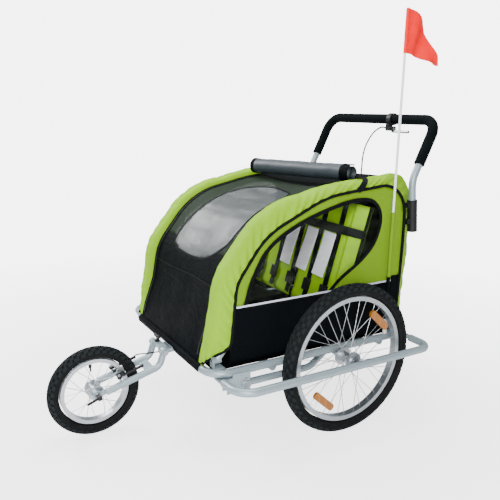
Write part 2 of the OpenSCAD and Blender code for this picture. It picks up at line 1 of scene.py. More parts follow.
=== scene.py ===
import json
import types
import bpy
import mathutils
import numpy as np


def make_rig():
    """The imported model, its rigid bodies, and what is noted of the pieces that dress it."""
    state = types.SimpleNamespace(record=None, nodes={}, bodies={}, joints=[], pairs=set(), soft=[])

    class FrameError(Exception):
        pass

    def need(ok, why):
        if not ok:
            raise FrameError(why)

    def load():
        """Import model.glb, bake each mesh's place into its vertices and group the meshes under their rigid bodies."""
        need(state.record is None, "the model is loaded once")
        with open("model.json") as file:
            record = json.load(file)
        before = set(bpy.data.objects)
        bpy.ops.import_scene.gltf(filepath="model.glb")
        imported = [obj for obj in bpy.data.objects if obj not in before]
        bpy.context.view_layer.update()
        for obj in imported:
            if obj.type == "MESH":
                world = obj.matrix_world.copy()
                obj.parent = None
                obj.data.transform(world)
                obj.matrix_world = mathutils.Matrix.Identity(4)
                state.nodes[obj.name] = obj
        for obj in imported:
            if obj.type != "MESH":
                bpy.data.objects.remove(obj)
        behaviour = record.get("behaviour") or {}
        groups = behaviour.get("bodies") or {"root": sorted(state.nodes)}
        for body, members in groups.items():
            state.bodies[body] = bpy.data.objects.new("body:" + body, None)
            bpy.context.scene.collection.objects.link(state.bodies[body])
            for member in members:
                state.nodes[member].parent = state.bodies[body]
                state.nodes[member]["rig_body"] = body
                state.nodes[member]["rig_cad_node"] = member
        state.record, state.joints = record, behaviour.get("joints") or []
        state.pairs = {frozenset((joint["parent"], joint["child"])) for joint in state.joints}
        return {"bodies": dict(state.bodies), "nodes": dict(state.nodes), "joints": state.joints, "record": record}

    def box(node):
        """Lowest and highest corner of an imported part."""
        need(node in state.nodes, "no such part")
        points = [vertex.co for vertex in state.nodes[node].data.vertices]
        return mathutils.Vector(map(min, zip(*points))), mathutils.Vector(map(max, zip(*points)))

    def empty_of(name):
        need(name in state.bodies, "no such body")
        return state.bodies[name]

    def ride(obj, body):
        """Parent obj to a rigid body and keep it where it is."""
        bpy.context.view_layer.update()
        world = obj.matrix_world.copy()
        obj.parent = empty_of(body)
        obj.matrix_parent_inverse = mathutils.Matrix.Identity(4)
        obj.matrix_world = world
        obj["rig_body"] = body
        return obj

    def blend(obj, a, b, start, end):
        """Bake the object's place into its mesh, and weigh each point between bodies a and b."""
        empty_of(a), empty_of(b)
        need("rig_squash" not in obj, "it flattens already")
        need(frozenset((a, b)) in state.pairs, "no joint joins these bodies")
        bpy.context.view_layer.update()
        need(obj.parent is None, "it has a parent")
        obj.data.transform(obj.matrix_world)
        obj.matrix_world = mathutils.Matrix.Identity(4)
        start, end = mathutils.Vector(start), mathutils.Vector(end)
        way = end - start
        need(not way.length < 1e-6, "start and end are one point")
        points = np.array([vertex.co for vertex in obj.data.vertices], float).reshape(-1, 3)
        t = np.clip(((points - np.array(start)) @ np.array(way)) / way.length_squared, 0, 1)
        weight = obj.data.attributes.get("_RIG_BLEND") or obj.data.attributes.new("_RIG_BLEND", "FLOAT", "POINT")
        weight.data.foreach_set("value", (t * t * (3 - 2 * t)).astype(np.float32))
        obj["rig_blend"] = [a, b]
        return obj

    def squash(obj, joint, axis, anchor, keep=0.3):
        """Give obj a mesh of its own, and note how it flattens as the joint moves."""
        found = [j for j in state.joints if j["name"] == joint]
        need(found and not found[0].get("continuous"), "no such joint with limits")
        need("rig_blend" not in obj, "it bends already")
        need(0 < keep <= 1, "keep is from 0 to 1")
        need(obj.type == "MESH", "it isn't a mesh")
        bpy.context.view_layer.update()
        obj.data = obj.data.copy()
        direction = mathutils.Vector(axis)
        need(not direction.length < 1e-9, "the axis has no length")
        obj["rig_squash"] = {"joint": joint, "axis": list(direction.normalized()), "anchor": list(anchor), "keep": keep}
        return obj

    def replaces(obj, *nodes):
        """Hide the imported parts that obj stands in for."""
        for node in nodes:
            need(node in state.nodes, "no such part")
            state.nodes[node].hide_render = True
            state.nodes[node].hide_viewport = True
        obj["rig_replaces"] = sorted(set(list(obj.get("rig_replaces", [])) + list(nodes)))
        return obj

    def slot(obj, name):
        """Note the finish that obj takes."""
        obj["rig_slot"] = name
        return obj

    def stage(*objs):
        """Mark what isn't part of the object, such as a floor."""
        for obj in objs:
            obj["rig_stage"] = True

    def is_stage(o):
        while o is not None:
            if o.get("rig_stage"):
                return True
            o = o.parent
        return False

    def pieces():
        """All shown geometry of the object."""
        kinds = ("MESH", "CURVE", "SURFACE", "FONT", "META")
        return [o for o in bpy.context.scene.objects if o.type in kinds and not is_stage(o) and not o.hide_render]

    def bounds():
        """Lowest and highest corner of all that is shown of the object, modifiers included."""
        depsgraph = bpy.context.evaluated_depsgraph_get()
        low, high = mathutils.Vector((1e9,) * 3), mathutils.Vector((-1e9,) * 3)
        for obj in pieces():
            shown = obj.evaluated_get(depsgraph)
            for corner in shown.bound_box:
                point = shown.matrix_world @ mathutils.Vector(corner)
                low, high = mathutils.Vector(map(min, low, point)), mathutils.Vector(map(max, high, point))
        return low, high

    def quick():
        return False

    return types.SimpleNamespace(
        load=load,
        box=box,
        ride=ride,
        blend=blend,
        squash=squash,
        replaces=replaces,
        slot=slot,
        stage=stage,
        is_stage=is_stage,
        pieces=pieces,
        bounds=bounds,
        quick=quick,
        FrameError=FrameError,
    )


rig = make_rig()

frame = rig.load()
cad_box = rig.bounds()

import json
import math

import bpy
import numpy as np
from mathutils import Euler, Matrix, Vector, noise
from mathutils.geometry import delaunay_2d_cdt

# Lengths are in millimetres. X points to the trailer's left, Z up, and Y backwards from the rear axle.
MM = 0.001


def raw_box(node):
    """Lowest and highest corners of a CAD node, in millimetres of the row frame."""
    low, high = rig.box(node)
    return np.array(low) / MM, np.array(high) / MM


AXLE_LOW, AXLE_HIGH = raw_box("left_axle")
AXLE_Y = (AXLE_LOW[1] + AXLE_HIGH[1]) / 2


def box(node):
    """Lowest and highest corners of a CAD node, with Y counted from the rear axle."""
    shift = np.array([0, AXLE_Y, 0])
    low, high = raw_box(node)
    return low - shift, high - shift


def metres(point):
    return (point[0] * MM, (point[1] + AXLE_Y) * MM, point[2] * MM)


COVER_LOW, COVER_HIGH = box("left_cover")
FRONT_Y = COVER_LOW[1]                   # front edge of the cabin at its floor
REAR_Y = COVER_HIGH[1]                   # rearmost line of the cabin
FLOOR_Z = COVER_LOW[2] - 2.5             # top of the hinge brackets
ROOF_Z = COVER_HIGH[2] + 6               # corner point of the roof line, above its rounding
BAND_X = 235                             # inner edge of a green band
SIDE_X = box("left_side_panel")[1][0]    # outer face of a side panel
PIPING_X = SIDE_X + 2
SEAM_Z = 458                             # top of the black lower part of a side panel
RAIL_Z = 266                             # centre line of the frame's front tube
FRONT_TUBE_Y = FRONT_Y + 6
TUBE_R = 12.5


def side_name(side):
    """The trailer's left is at side 1, its right at -1."""
    return "left" if side > 0 else "right"



# ---------- lines ----------


def unit(v):
    return v / np.linalg.norm(v)


def rounded(points, radii, step=6):
    """An open line whose inner corners are rounded by arcs; step is the arc's degrees per segment."""
    pts = [np.array(p, float) for p in points]
    out = [pts[0]]
    for p, q, s, r in zip(pts, pts[1:], pts[2:], radii[1:]):
        a, b = unit(q - p), unit(s - q)
        turn = math.acos(max(-1, min(1, float(a @ b))))
        if r < 1 or turn < 0.02:
            out.append(q)
            continue
        side = unit(b - a * (a @ b))
        count = int(math.degrees(turn) / step) + 3
        for k in range(count):
            w = turn * k / (count - 1)
            start = q - a * r * math.tan(turn / 2) + side * r
            out.append(start + (a * math.sin(w) - side * math.cos(w)) * r)
    out.append(pts[-1])
    return np.array(out)


def spline(points, per=8):
    """A smooth open curve through the points (Catmull-Rom), with per segments between two points."""
    pts = [np.array(p, float) for p in points]
    pts = [2 * pts[0] - pts[1]] + pts + [2 * pts[-1] - pts[-2]]
    out = []
    for a, b, c, d in zip(pts, pts[1:], pts[2:], pts[3:]):
        for k in range(per):
            t = k / per
            out.append(0.5 * (2 * b + (c - a) * t + (2 * a - 5 * b + 4 * c - d) * t ** 2
                              + (3 * b - a - 3 * c + d) * t ** 3))
    out.append(pts[-2])
    return np.array(out)


class Line:
    """A line of points that is read by the fraction of its length."""

    def __init__(self, points):
        self.points = np.array(points, float)
        steps = np.linalg.norm(np.diff(self.points, axis=0), axis=1)
        self.along = np.concatenate([[0], np.cumsum(steps)])
        self.length = self.along[-1]

    def at(self, t):
        s = t * self.length
        return np.array([np.interp(s, self.along, column) for column in self.points.T])

    def direction(self, t, reach=0.004):
        return unit(self.at(min(1, t + reach)) - self.at(max(0, t - reach)))

    def even(self, step):
        """The same line as points about step apart."""
        count = max(2, int(self.length / step))
        return np.array([self.at(k / count) for k in range(count + 1)])


# Side view of the cover's outer skin, from the floor's front edge over the roof to the rear
SKIN = Line(rounded([(FRONT_Y, FLOOR_Z), (FRONT_Y + 46, 556), (FRONT_Y + 190, 742), (-30, ROOF_Z - 38),
                     (REAR_Y, ROOF_Z), (REAR_Y, 560), (REAR_Y - 18, FLOOR_Z)], [0, 210, 300, 700, 110, 300]))
# Side view of the piping line where a side panel meets its band
PIPING = Line(rounded([(-470, 286), (-392, 345), (-376, 530), (-280, 665), (-60, 768), (268, 801),
                       (274, 600), (266, FLOOR_Z + 5)], [0, 30, 110, 230, 380, 100, 300], step=4))


def inward(t):
    """The direction square to the skin, into the cabin."""
    y, z = SKIN.direction(t)
    return np.array([z, -y])


def outward(s):
    """The direction square to the skin, out of the cabin, at a distance along it."""
    return np.array([0, *(-inward(s / SKIN.length))])


def smooth_step(a, b, x):
    """0 below a, 1 above b and a smooth rise between them."""
    t = max(0.0, min(1.0, (x - a) / (b - a)))
    return t * t * (3 - 2 * t)


def ripple(x, y, z, size):
    """Smooth noise between about -1 and 1 whose bumps are size millimetres wide."""
    return noise.noise(Vector((x, y, z)) / size)


# ---------- meshes ----------


def finish_mesh(name, verts, faces, material, uv=None, sharp=40):
    """A new smooth-shaded object from points in millimetres; uv holds one pair of metres for each point."""
    mesh = bpy.data.meshes.new(name)
    mesh.from_pydata([metres(v) for v in verts], [], [tuple(int(i) for i in f) for f in faces])
    if uv is not None:
        layer = mesh.uv_layers.new(name="UVMap")
        index = np.zeros(len(mesh.loops), dtype=int)
        mesh.loops.foreach_get("vertex_index", index)
        layer.data.foreach_set("uv", np.array(uv, float)[index].ravel())
    mesh.validate()
    mesh.shade_smooth()
    mesh.set_sharp_from_angle(angle=math.radians(sharp))
    mesh.materials.append(material)
    obj = bpy.data.objects.new(name, mesh)
    bpy.context.scene.collection.objects.link(obj)
    return obj


def bake_modifiers(obj):
    """Turns an object's modifiers into its mesh."""
    graph = bpy.context.evaluated_depsgraph_get()
    mesh = bpy.data.meshes.new_from_object(obj.evaluated_get(graph))
    obj.modifiers.clear()
    old = obj.data
    obj.data = mesh
    bpy.data.meshes.remove(old)
    return obj


def thicken(obj, thickness, offset=-1.0):
    """Gives a sheet its thickness in millimetres."""
    mod = obj.modifiers.new("thickness", "SOLIDIFY")
    mod.thickness = thickness * MM
    mod.offset = offset
    mod.use_even_offset = False
    return bake_modifiers(obj)


def grid(name, points, material, uv):
    """A sheet from a rows x columns array of points."""
    rows, cols = points.shape[:2]
    faces = [(i * cols + j, i * cols + j + 1, (i + 1) * cols + j + 1, (i + 1) * cols + j)
             for i in range(rows - 1) for j in range(cols - 1)]
    return finish_mesh(name, points.reshape(-1, 3), faces, material, uv.reshape(-1, 2))


def sheet(name, us, vs, place, coords, material, thickness):
    """Cloth whose points are place(u, v) and whose metres across and along are coords(u, v)."""
    points = np.array([[place(u, v) for v in vs] for u in us])
    uv = np.array([[coords(u, v) for v in vs] for u in us])
    return thicken(grid(name, points, material, uv), thickness, 0.0)


def frames(path, up=(0, 0, 1)):
    """Tangent and two square directions at each point of a path, turning as little as possible."""
    path = np.array(path, float)
    tangent = np.gradient(path, axis=0)
    tangent /= np.linalg.norm(tangent, axis=1)[:, None]
    side = np.cross(tangent[0], np.array(up, float))
    if np.linalg.norm(side) < 0.1:
        side = np.cross(tangent[0], np.array([1.0, 0, 0]))
    out = []
    for t in tangent:
        side = unit(side - t * (side @ t))
        out.append((t, side, np.cross(side, t)))
    return out


def wall(rows, cols):
    """The four-sided faces between neighbouring rings of cols points."""
    return [(i * cols + j, i * cols + (j + 1) % cols, (i + 1) * cols + (j + 1) % cols, (i + 1) * cols + j)
            for i in range(rows - 1) for j in range(cols)]


def caps(rows, cols):
    """The faces that close the first and the last ring."""
    return [tuple(reversed(range(cols))), tuple((rows - 1) * cols + j for j in range(cols))]


def swept(name, path, rings, around, faces, material):
    """A mesh of rings along a path; around holds the width coordinate of each ring point."""
    points = np.array(rings)
    along = Line(path).along
    uv = [(a * MM, b * MM) for a in along for b in around]
    return finish_mesh(name, points.reshape(-1, 3), faces, material, uv)


def tube(name, path, r, material, sides=12, up=(0, 0, 1)):
    """A round tube along a path, with closed ends."""
    path = np.array(path, float)
    turns = [2 * math.pi * k / sides for k in range(sides)]
    rings = [[p + side * (r * math.cos(a)) + lift * (r * math.sin(a)) for a in turns]
             for p, (_, side, lift) in zip(path, frames(path, up))]
    faces = wall(len(path), sides) + caps(len(path), sides)
    return swept(name, path, rings, np.linspace(0, 2 * math.pi * r, sides), faces, material)


def slab(width, thickness, edge=0.9):
    """The section of a flat strap with rounded edges."""
    w, t = width / 2, thickness / 2
    return [(-w, -t * edge), (-w + t, -t), (0, -t * 0.8), (w - t, -t), (w, -t * edge), (w, t * edge),
            (w - t, t), (0, t * 0.8), (-w + t, t), (-w, t * edge)]


def ribbon(name, path, normals, width, thickness, material):
    """A flat tape along a path that lies square to the normals given; a closed path has no ends."""
    path = np.array(path)
    section = slab(width, thickness)
    rings = []
    for p, t, n in zip(path, np.gradient(path, axis=0), normals):
        t = unit(t)
        n = unit(np.array(n) - t * (np.array(n) @ t))
        side = np.cross(t, n)
        rings.append([p + side * a + n * b for a, b in section])
    faces = wall(len(path), len(section))
    if np.linalg.norm(path[0] - path[-1]) >= 0.01:
        faces += caps(len(path), len(section))
    return swept(name, path, rings, [a for a, _ in section], faces, material)


def inside(point, loop):
    """Whether a 2D point lies inside a closed loop."""
    x, y = point
    odd = False
    for (ax, ay), (bx, by) in zip(loop, np.roll(loop, -1, axis=0)):
        if (ay > y) != (by > y) and x < (bx - ax) * (y - ay) / (by - ay) + ax:
            odd = not odd
    return odd


def cut_sheet(low, high, step, loops, lines=()):
    """Triangles that fill a rectangle and follow the closed loops and open lines drawn in it."""
    fixed, edges = [], []
    for line in list(loops) + list(lines):
        start, count = len(fixed), len(line)
        fixed.extend(tuple(map(float, p)) for p in line)
        edges.extend((start + k, start + k + 1) for k in range(count - 1))
        if any(line is loop for loop in loops):
            edges.append((start + count - 1, start))
    near = np.array(fixed)
    free = []
    for x in np.arange(low[0], high[0] + 0.1, (high[0] - low[0]) / round((high[0] - low[0]) / step)):
        for y in np.arange(low[1], high[1] + 0.1, (high[1] - low[1]) / round((high[1] - low[1]) / step)):
            if np.min(np.sum((near - (x, y)) ** 2, axis=1)) > (0.55 * step) ** 2:
                free.append((float(x), float(y)))
    points = [Vector(p) for p in fixed + free]
    verts, _, faces = delaunay_2d_cdt(points, edges, [], 0, 0.01)[:3]
    return np.array([(v.x, v.y) for v in verts]), faces


def regions(flat, faces, choose):
    """Sorts the triangles of a cut sheet by the name that choose gives for their middle; None drops them."""
    out = {}
    for face in faces:
        key = choose(flat[list(face)].mean(axis=0))
        if key:
            out.setdefault(key, []).append(face)
    return out


def lift_region(name, flat, faces, lift, material, thickness, flip=False):
    """One region of a cut sheet, moved into place by lift and given its thickness."""
    used = sorted({i for f in faces for i in f})
    new = {old: k for k, old in enumerate(used)}
    verts = [lift(*flat[i]) for i in used]
    tris = [[new[i] for i in (reversed(f) if flip else f)] for f in faces]
    obj = finish_mesh(name, verts, tris, material, [flat[i] * MM for i in used])
    return thicken(obj, thickness)


# ---------- materials ----------


def rgb(r, g, b):
    """A screen colour, 0 to 255, as the linear values that a shader takes."""
    return tuple((c / 255 / 12.92) if c < 10.3 else ((c / 255 + 0.055) / 1.055) ** 2.4 for c in (r, g, b))


class Look:
    """A material, with short calls that add nodes to it."""

    def __init__(self, name, colour, rough=0.5, metal=0.0, **extra):
        self.material = bpy.data.materials.new(name)
        self.material.use_nodes = True
        self.tree = self.material.node_tree
        self.skin = self.tree.nodes["Principled BSDF"]
        self.colour = None
        self.set("Base Color", (*colour, 1))
        self.set("Roughness", rough)
        self.set("Metallic", metal)
        for key, value in extra.items():
            self.set(key.replace("_", " "), value)

    def set(self, name, value):
        self.skin.inputs[name].default_value = value

    def add(self, kind, *values, **named):
        node = self.tree.nodes.new(kind)
        for key, value in list(enumerate(values)) + [(k.replace("_", " "), v) for k, v in named.items()]:
            if value is None:
                continue
            if isinstance(value, bpy.types.NodeSocket):
                self.tree.links.new(value, node.inputs[key])
            else:
                node.inputs[key].default_value = value
        return node

    def place(self, uv=False, stretch=(1, 1, 1)):
        """Coordinates in metres: on the cloth with uv, else in space."""
        coords = self.add("ShaderNodeTexCoord").outputs["UV" if uv else "Object"]
        return self.add("ShaderNodeMapping", coords, Scale=stretch).outputs[0]

    def noise(self, where, size, detail=3.0, rough=0.5):
        """Noise between 0 and 1 with features about size millimetres wide."""
        return self.add("ShaderNodeTexNoise", where, Scale=1 / (size * MM), Detail=detail,
                        Roughness=rough).outputs["Fac"]

    def wave(self, where, size, direction, distortion=0.0):
        """Bands between 0 and 1, size millimetres apart."""
        scale = 2 * math.pi / (20 * size * MM)
        node = self.add("ShaderNodeTexWave", where, Scale=scale, Distortion=distortion)
        node.bands_direction = direction
        return node.outputs["Fac"]

    def calc(self, operation, a, b=None):
        node = self.add("ShaderNodeMath", a, b)
        node.operation = operation
        return node.outputs[0]

    def span(self, value, low, high, to_low=0.0, to_high=1.0):
        return self.add("ShaderNodeMapRange", value, low, high, to_low, to_high).outputs[0]

    def tint(self, factor, colour):
        """Mixes the base colour towards another one."""
        base = self.skin.inputs["Base Color"]
        node = self.add("ShaderNodeMix")
        node.data_type = "RGBA"
        self.tree.links.new(factor, node.inputs[0])
        if self.colour is None:
            node.inputs[6].default_value = base.default_value
        else:
            self.tree.links.new(self.colour, node.inputs[6])
        node.inputs[7].default_value = (*colour, 1)
        self.colour = node.outputs[2]
        self.tree.links.new(self.colour, base)

    def mottle(self, value, low, high, amount, colour):
        """Tints by up to amount where the value rises from low to high."""
        self.tint(self.span(value, low, high, 0.0, amount), colour)

    def rough(self, factor, low, high):
        self.tree.links.new(self.span(factor, 0.0, 1.0, low, high), self.skin.inputs["Roughness"])

    def bump(self, height, millimetres, strength=1.0):
        """Adds a bump on top of the bumps that are there."""
        old = self.skin.inputs["Normal"].links
        node = self.add("ShaderNodeBump", Height=height, Distance=millimetres * MM, Strength=strength)
        if old:
            self.tree.links.new(old[0].from_socket, node.inputs["Normal"])
        self.tree.links.new(node.outputs[0], self.skin.inputs["Normal"])


def darker(colour, factor):
    return tuple(c * factor for c in colour)


def lighter(colour, factor, lift=0.0, top=1.0):
    return tuple(min(top, c * factor + lift) for c in colour)


def cloth_look(name, colour, thread=1.1, uv=True, rough=0.62, crease=1.0, painted_shade=0.5):
    """Woven nylon: threads both ways, soft creases, large soft patches of painted shade, whose depth the last argument
    sets, and pale flecks.
    """
    look = Look(name, colour, rough, Specular_IOR_Level=0.2 if max(colour) > 0.05 else 0.05)
    where = look.place(uv)
    warp = look.wave(where, thread, "X")
    weft = look.wave(where, thread, "Y" if uv else "Z")
    weave = look.calc("MULTIPLY", warp, weft)
    shade = look.noise(where, 260, 4)
    creases = look.noise(look.place(uv, (1, 2.4, 1)), 48, 5, 0.6)
    # Painted shade: large soft patches, darker by up to the given amount, stand in for light falling unevenly on the
    # cloth.
    look.mottle(shade, 0.35, 0.75, painted_shade, darker(colour, 0.72))
    look.tint(look.span(weave, 0.0, 1.0, 0.16, 0.0), darker(colour, 0.45))
    look.mottle(look.noise(where, 9, 4), 0.6, 0.85, 0.12, lighter(colour, 1.4, 0.002))
    look.bump(creases, 3.6 * crease, 0.75)
    look.bump(weave, 0.22, 0.6)
    look.rough(shade, rough - 0.08, rough + 0.12)
    return look.material


def webbing_look(name, colour):
    """Ribbed strap webbing."""
    look = Look(name, colour, 0.6, Specular_IOR_Level=0.1)
    where = look.place(True)
    ribs = look.wave(where, 2.2, "X", 0.4)
    edge = look.wave(where, 1.2, "Y")
    look.tint(look.span(look.calc("MULTIPLY", ribs, edge), 0.0, 1.0, 0.5, 0.0), darker(colour, 0.4))
    look.mottle(look.noise(where, 30, 3), 0.5, 0.9, 0.3, lighter(colour, 1.8, 0.002))
    look.bump(ribs, 0.35, 0.7)
    look.bump(edge, 0.15, 0.5)
    return look.material


def paint_look(name, colour, metal=0.35, rough=0.38):
    """Powder-coated tube: fine orange peel, faint dust and small scuffs that show brighter metal."""
    look = Look(name, colour, rough, metal, Coat_Weight=0.25, Coat_Roughness=0.3)
    where = look.place()
    peel = look.noise(where, 1.6, 2)
    dust = look.noise(where, 70, 5, 0.65)
    scuff = look.noise(look.place(False, (1, 0.35, 1)), 5, 6, 0.75)
    look.mottle(dust, 0.45, 0.8, 0.3, darker(colour, 0.62))
    look.mottle(scuff, 0.70, 0.76, 0.35, lighter(colour, 1.35))
    look.rough(dust, rough - 0.1, rough + 0.2)
    look.bump(peel, 0.06, 0.5)
    look.bump(look.noise(where, 18, 2), 0.12, 0.4)
    return look.material


def steel_look(name, colour, rough=0.28, streak=(1, 1, 1), tarnish=0.35):
    """Bare or plated metal with fine brushing along one direction and a little tarnish."""
    look = Look(name, colour, rough, 1.0)
    fine = look.noise(look.place(False, streak), 1.2, 4, 0.7)
    spots = look.noise(look.place(), 14, 5, 0.7)
    look.mottle(spots, 0.5, 0.8, tarnish, darker(colour, 0.45))
    look.rough(spots, rough - 0.1, rough + 0.25)
    look.bump(fine, 0.05, 0.5)
    return look.material


def plastic_look(name, colour, rough=0.42, grain=1.4):
    """Moulded plastic with a fine leather-like grain and handling marks."""
    look = Look(name, colour, rough, Specular_IOR_Level=0.3)
    where = look.place()
    cells = look.add("ShaderNodeTexVoronoi", where, Scale=1 / (grain * MM)).outputs["Distance"]
    marks = look.noise(look.place(False, (1, 1, 0.4)), 11, 6, 0.7)
    look.mottle(marks, 0.62, 0.8, 0.35, lighter(colour, 1.6, 0.001, top=2.0))
    look.rough(marks, rough - 0.12, rough + 0.2)
    look.bump(cells, 0.12, 0.5)
    return look.material


def rubber_look(name, colour):
    """Tyre rubber: matt, greyed by dust on its raised parts, with fine moulding texture."""
    look = Look(name, colour, 0.78, Specular_IOR_Level=0.15)
    where = look.place()
    dust = look.noise(where, 22, 6, 0.7)
    look.mottle(dust, 0.5, 0.8, 0.25, (0.030, 0.031, 0.031))
    look.mottle(look.noise(where, 150, 3), 0.5, 0.8, 0.3, darker(colour, 0.4))
    look.bump(look.noise(where, 1.5, 3), 0.16, 0.6)
    look.bump(dust, 0.4, 0.3)
    look.rough(dust, 0.66, 0.92)
    return look.material


def foam_look(name, colour):
    """Closed-cell foam: soft, pitted and dull."""
    look = Look(name, colour, 0.85, Specular_IOR_Level=0.06)
    where = look.place()
    cells = look.add("ShaderNodeTexVoronoi", where, Scale=1 / (1.5 * MM)).outputs["Distance"]
    look.tint(look.span(cells, 0.0, 0.5, 0.45, 0.0), darker(colour, 0.35))
    look.mottle(look.noise(where, 40, 4), 0.5, 0.8, 0.3, lighter(colour, 1.8, 0.004))
    look.bump(cells, 0.35, 0.8)
    return look.material


def reflector_look(name, colour):
    """Amber reflector: clear over a field of small prisms."""
    look = Look(name, colour, 0.3, Coat_Weight=0.2, Coat_Roughness=0.08)
    where = look.place()
    prisms = look.add("ShaderNodeTexVoronoi", where, Scale=1 / (3.2 * MM)).outputs["Distance"]
    rows = look.wave(where, 26, "Y")
    look.mottle(prisms, 0.1, 0.6, 0.55, darker(colour, 0.55))
    look.mottle(rows, 0.86, 0.95, 0.5, lighter(colour, 1.4))
    look.bump(prisms, 0.7, 0.8)
    return look.material


def see_through(look, factor):
    """Mixes a material with clear air; factor 1 is solid."""
    out = look.tree.nodes["Material Output"]
    clear = look.add("ShaderNodeBsdfTransparent")
    mix = look.add("ShaderNodeMixShader", factor, clear.outputs[0], look.skin.outputs[0])
    look.tree.links.new(mix.outputs[0], out.inputs["Surface"])
    return look.material


def film_look(name, colour, solid, rough=0.16):
    """Clear vinyl with a haze, long ripples and a few scratches."""
    look = Look(name, colour, rough, Specular_IOR_Level=0.5)
    where = look.place(True)
    haze = look.noise(look.place(True, (0.5, 2.0, 1)), 85, 5, 0.6)
    scratch = look.noise(look.place(True, (6, 0.6, 1)), 20, 6, 0.75)
    look.mottle(haze, 0.35, 0.75, 0.6, darker(colour, 0.72))
    look.mottle(scratch, 0.66, 0.74, 0.4, lighter(colour, 1.5))
    look.bump(haze, 3.0, 0.4)
    look.bump(look.noise(where, 30, 3), 0.8, 0.3)
    return see_through(look, look.span(haze, 0.3, 0.8, solid - 0.1, solid + 0.1))


def net_look(name, colour, solid, hole=2.4):
    """Fly mesh: threads both ways with gaps between them."""
    look = Look(name, colour, 0.7, Specular_IOR_Level=0.2)
    where = look.place(True)
    warp = look.wave(where, hole, "X")
    weft = look.wave(where, hole, "Y")
    thread = look.calc("MAXIMUM", warp, weft)
    look.mottle(look.noise(where, 120, 4), 0.35, 0.75, 0.5, darker(colour, 0.5))
    look.bump(thread, 0.4, 0.7)
    return see_through(look, look.span(thread, 0.3, 0.95, solid - 0.25, min(1.0, solid + 0.25)))


lime_cloth = cloth_look("lime_cloth", (0.235, 0.465, 0.0), 1.1, crease=2.1)
# A darker copy of the lime cloth for the side panels and the pole sleeve: painted shade, as the sides get less of the
# light from above than the tops.
lime_shaded_side = cloth_look("lime_side_cloth", (0.15, 0.29, 0.002), 1.1, crease=0.6)
# A lighter copy of the lime cloth for the seat and its wings: painted light, brighter than the bands to make up for the
# shade inside the cabin.
lime_lit_pad = cloth_look("lime_seat_cloth", (0.27, 0.54, 0.0), 1.3, uv=False, crease=0.8)
# Two copies of one black cloth with tones set for how light falls on them: the first, for the front, roof and rear, is
# painted darker than the second, for the sides, as painted shade.
black_cloth = cloth_look("black_cloth", (0.0006, 0.0016, 0.0025), 1.2, crease=1.8, painted_shade=0.4)
black_side = cloth_look("black_side_cloth", (0.0010, 0.0018, 0.0028), 1.2, crease=0.35, painted_shade=0.3)
black_solid = cloth_look("black_lining", (0.002, 0.003, 0.004), 1.3, uv=False, crease=0.4)
red_cloth = cloth_look("red_cloth", (1.0, 0.003, 0.003), 0.9, crease=0.6, painted_shade=0.25)
# The pads' white is set close to full white: painted light that lifts them in the shade inside the cabin.
white_cloth = cloth_look("white_pad_cloth", (0.93, 0.95, 1.0), 1.0, uv=False, crease=0.4, painted_shade=0.2)
binding = webbing_look("binding_tape", (0.0015, 0.002, 0.003))
webbing = webbing_look("black_webbing", (0.003, 0.004, 0.005))
reflective = webbing_look("reflective_tape", (0.72, 0.76, 0.86))
silver_paint = paint_look("silver_paint", (0.27, 0.335, 0.37))
zinc = steel_look("zinc_steel", rgb(176, 180, 184), 0.3)
spoke_steel = steel_look("spoke_steel", rgb(190, 193, 196), 0.25, (1, 1, 1), 0.2)
alloy = steel_look("alloy", rgb(184, 189, 194), 0.33, (0.2, 1, 1))
rubber = rubber_look("tyre_rubber", (0.003, 0.0035, 0.004))
# A lighter copy of the tyre rubber for the knobs: painted light, so that the knobs stand out as if they caught the
# light.
lit_knob_rubber = rubber_look("tyre_knob_rubber", (0.007, 0.0095, 0.011))
plastic = plastic_look("black_plastic", (0.006, 0.006, 0.007))
sleeve_plastic = plastic_look("sleeve_plastic", (0.004, 0.0045, 0.005), 0.5)
foam = foam_look("grip_foam", (0.0012, 0.0028, 0.0035))
amber = reflector_look("amber_plastic", (0.34, 0.11, 0.0))
pole_white = plastic_look("pole_glassfibre", (0.82, 0.84, 0.82), 0.35, 0.9)
window_film = film_look("front_window_film", (0.036, 0.045, 0.048), 0.88, 0.4)
side_film = film_look("side_window_film", (0.07, 0.09, 0.06), 0.04, 0.08)
roll_film = film_look("rolled_film", (0.026, 0.037, 0.046), 0.95, 0.5)
net = net_look("fly_mesh", (0.006, 0.016, 0.006), 0.96)


CAD_LOOKS = {
    silver_paint: ["base_frame", "left_guard_bar", "right_guard_bar", "hoop_brackets", "left_hoop",
                   "right_hoop", "left_spreader", "right_spreader", "arm_bracket", "front_arm",
                   "tow_receiver", "tow_bar", "handlebar"],
    zinc: ["guard_bar_bolts", "hoop_pins", "tow_bolt", "tow_lock_pin", "arm_pin", "front_axle", "left_axle",
           "right_axle", "front_bearings", "left_bearings", "right_bearings"],
    spoke_steel: ["front_spoke_set", "left_spoke_set", "right_spoke_set", "brake_lever"],
    alloy: ["front_rim", "left_rim", "right_rim", "front_hub", "left_hub", "right_hub"],
    plastic: ["arm_lock_knob", "front_qr_lever", "left_brake_arm", "right_brake_arm", "left_axle_button",
              "right_axle_button", "brake_lever_clamp", "brake_cable"],
    sleeve_plastic: ["handle_sleeves"],
    rubber: ["tow_coupler"],
    foam: ["handle_foam"],
    amber: ["left_reflectors", "right_reflectors"],
    pole_white: ["flag_pole"],
}


def dress_cad_nodes():
    """Gives each kept CAD node its finish."""
    for material, names in CAD_LOOKS.items():
        for name in names:
            obj = frame["nodes"][name]
            if not obj.material_slots:
                obj.data.materials.append(material)
            for slot in obj.material_slots:
                slot.material = material


# ---------- riding ----------


def ride_frame(obj, slot):
    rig.ride(obj, "frame")
    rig.slot(obj, slot)
    return obj


CANOPY_ANCHOR = metres((0, 0, 270))
SEAT_ANCHOR = metres((0, 0, 280))


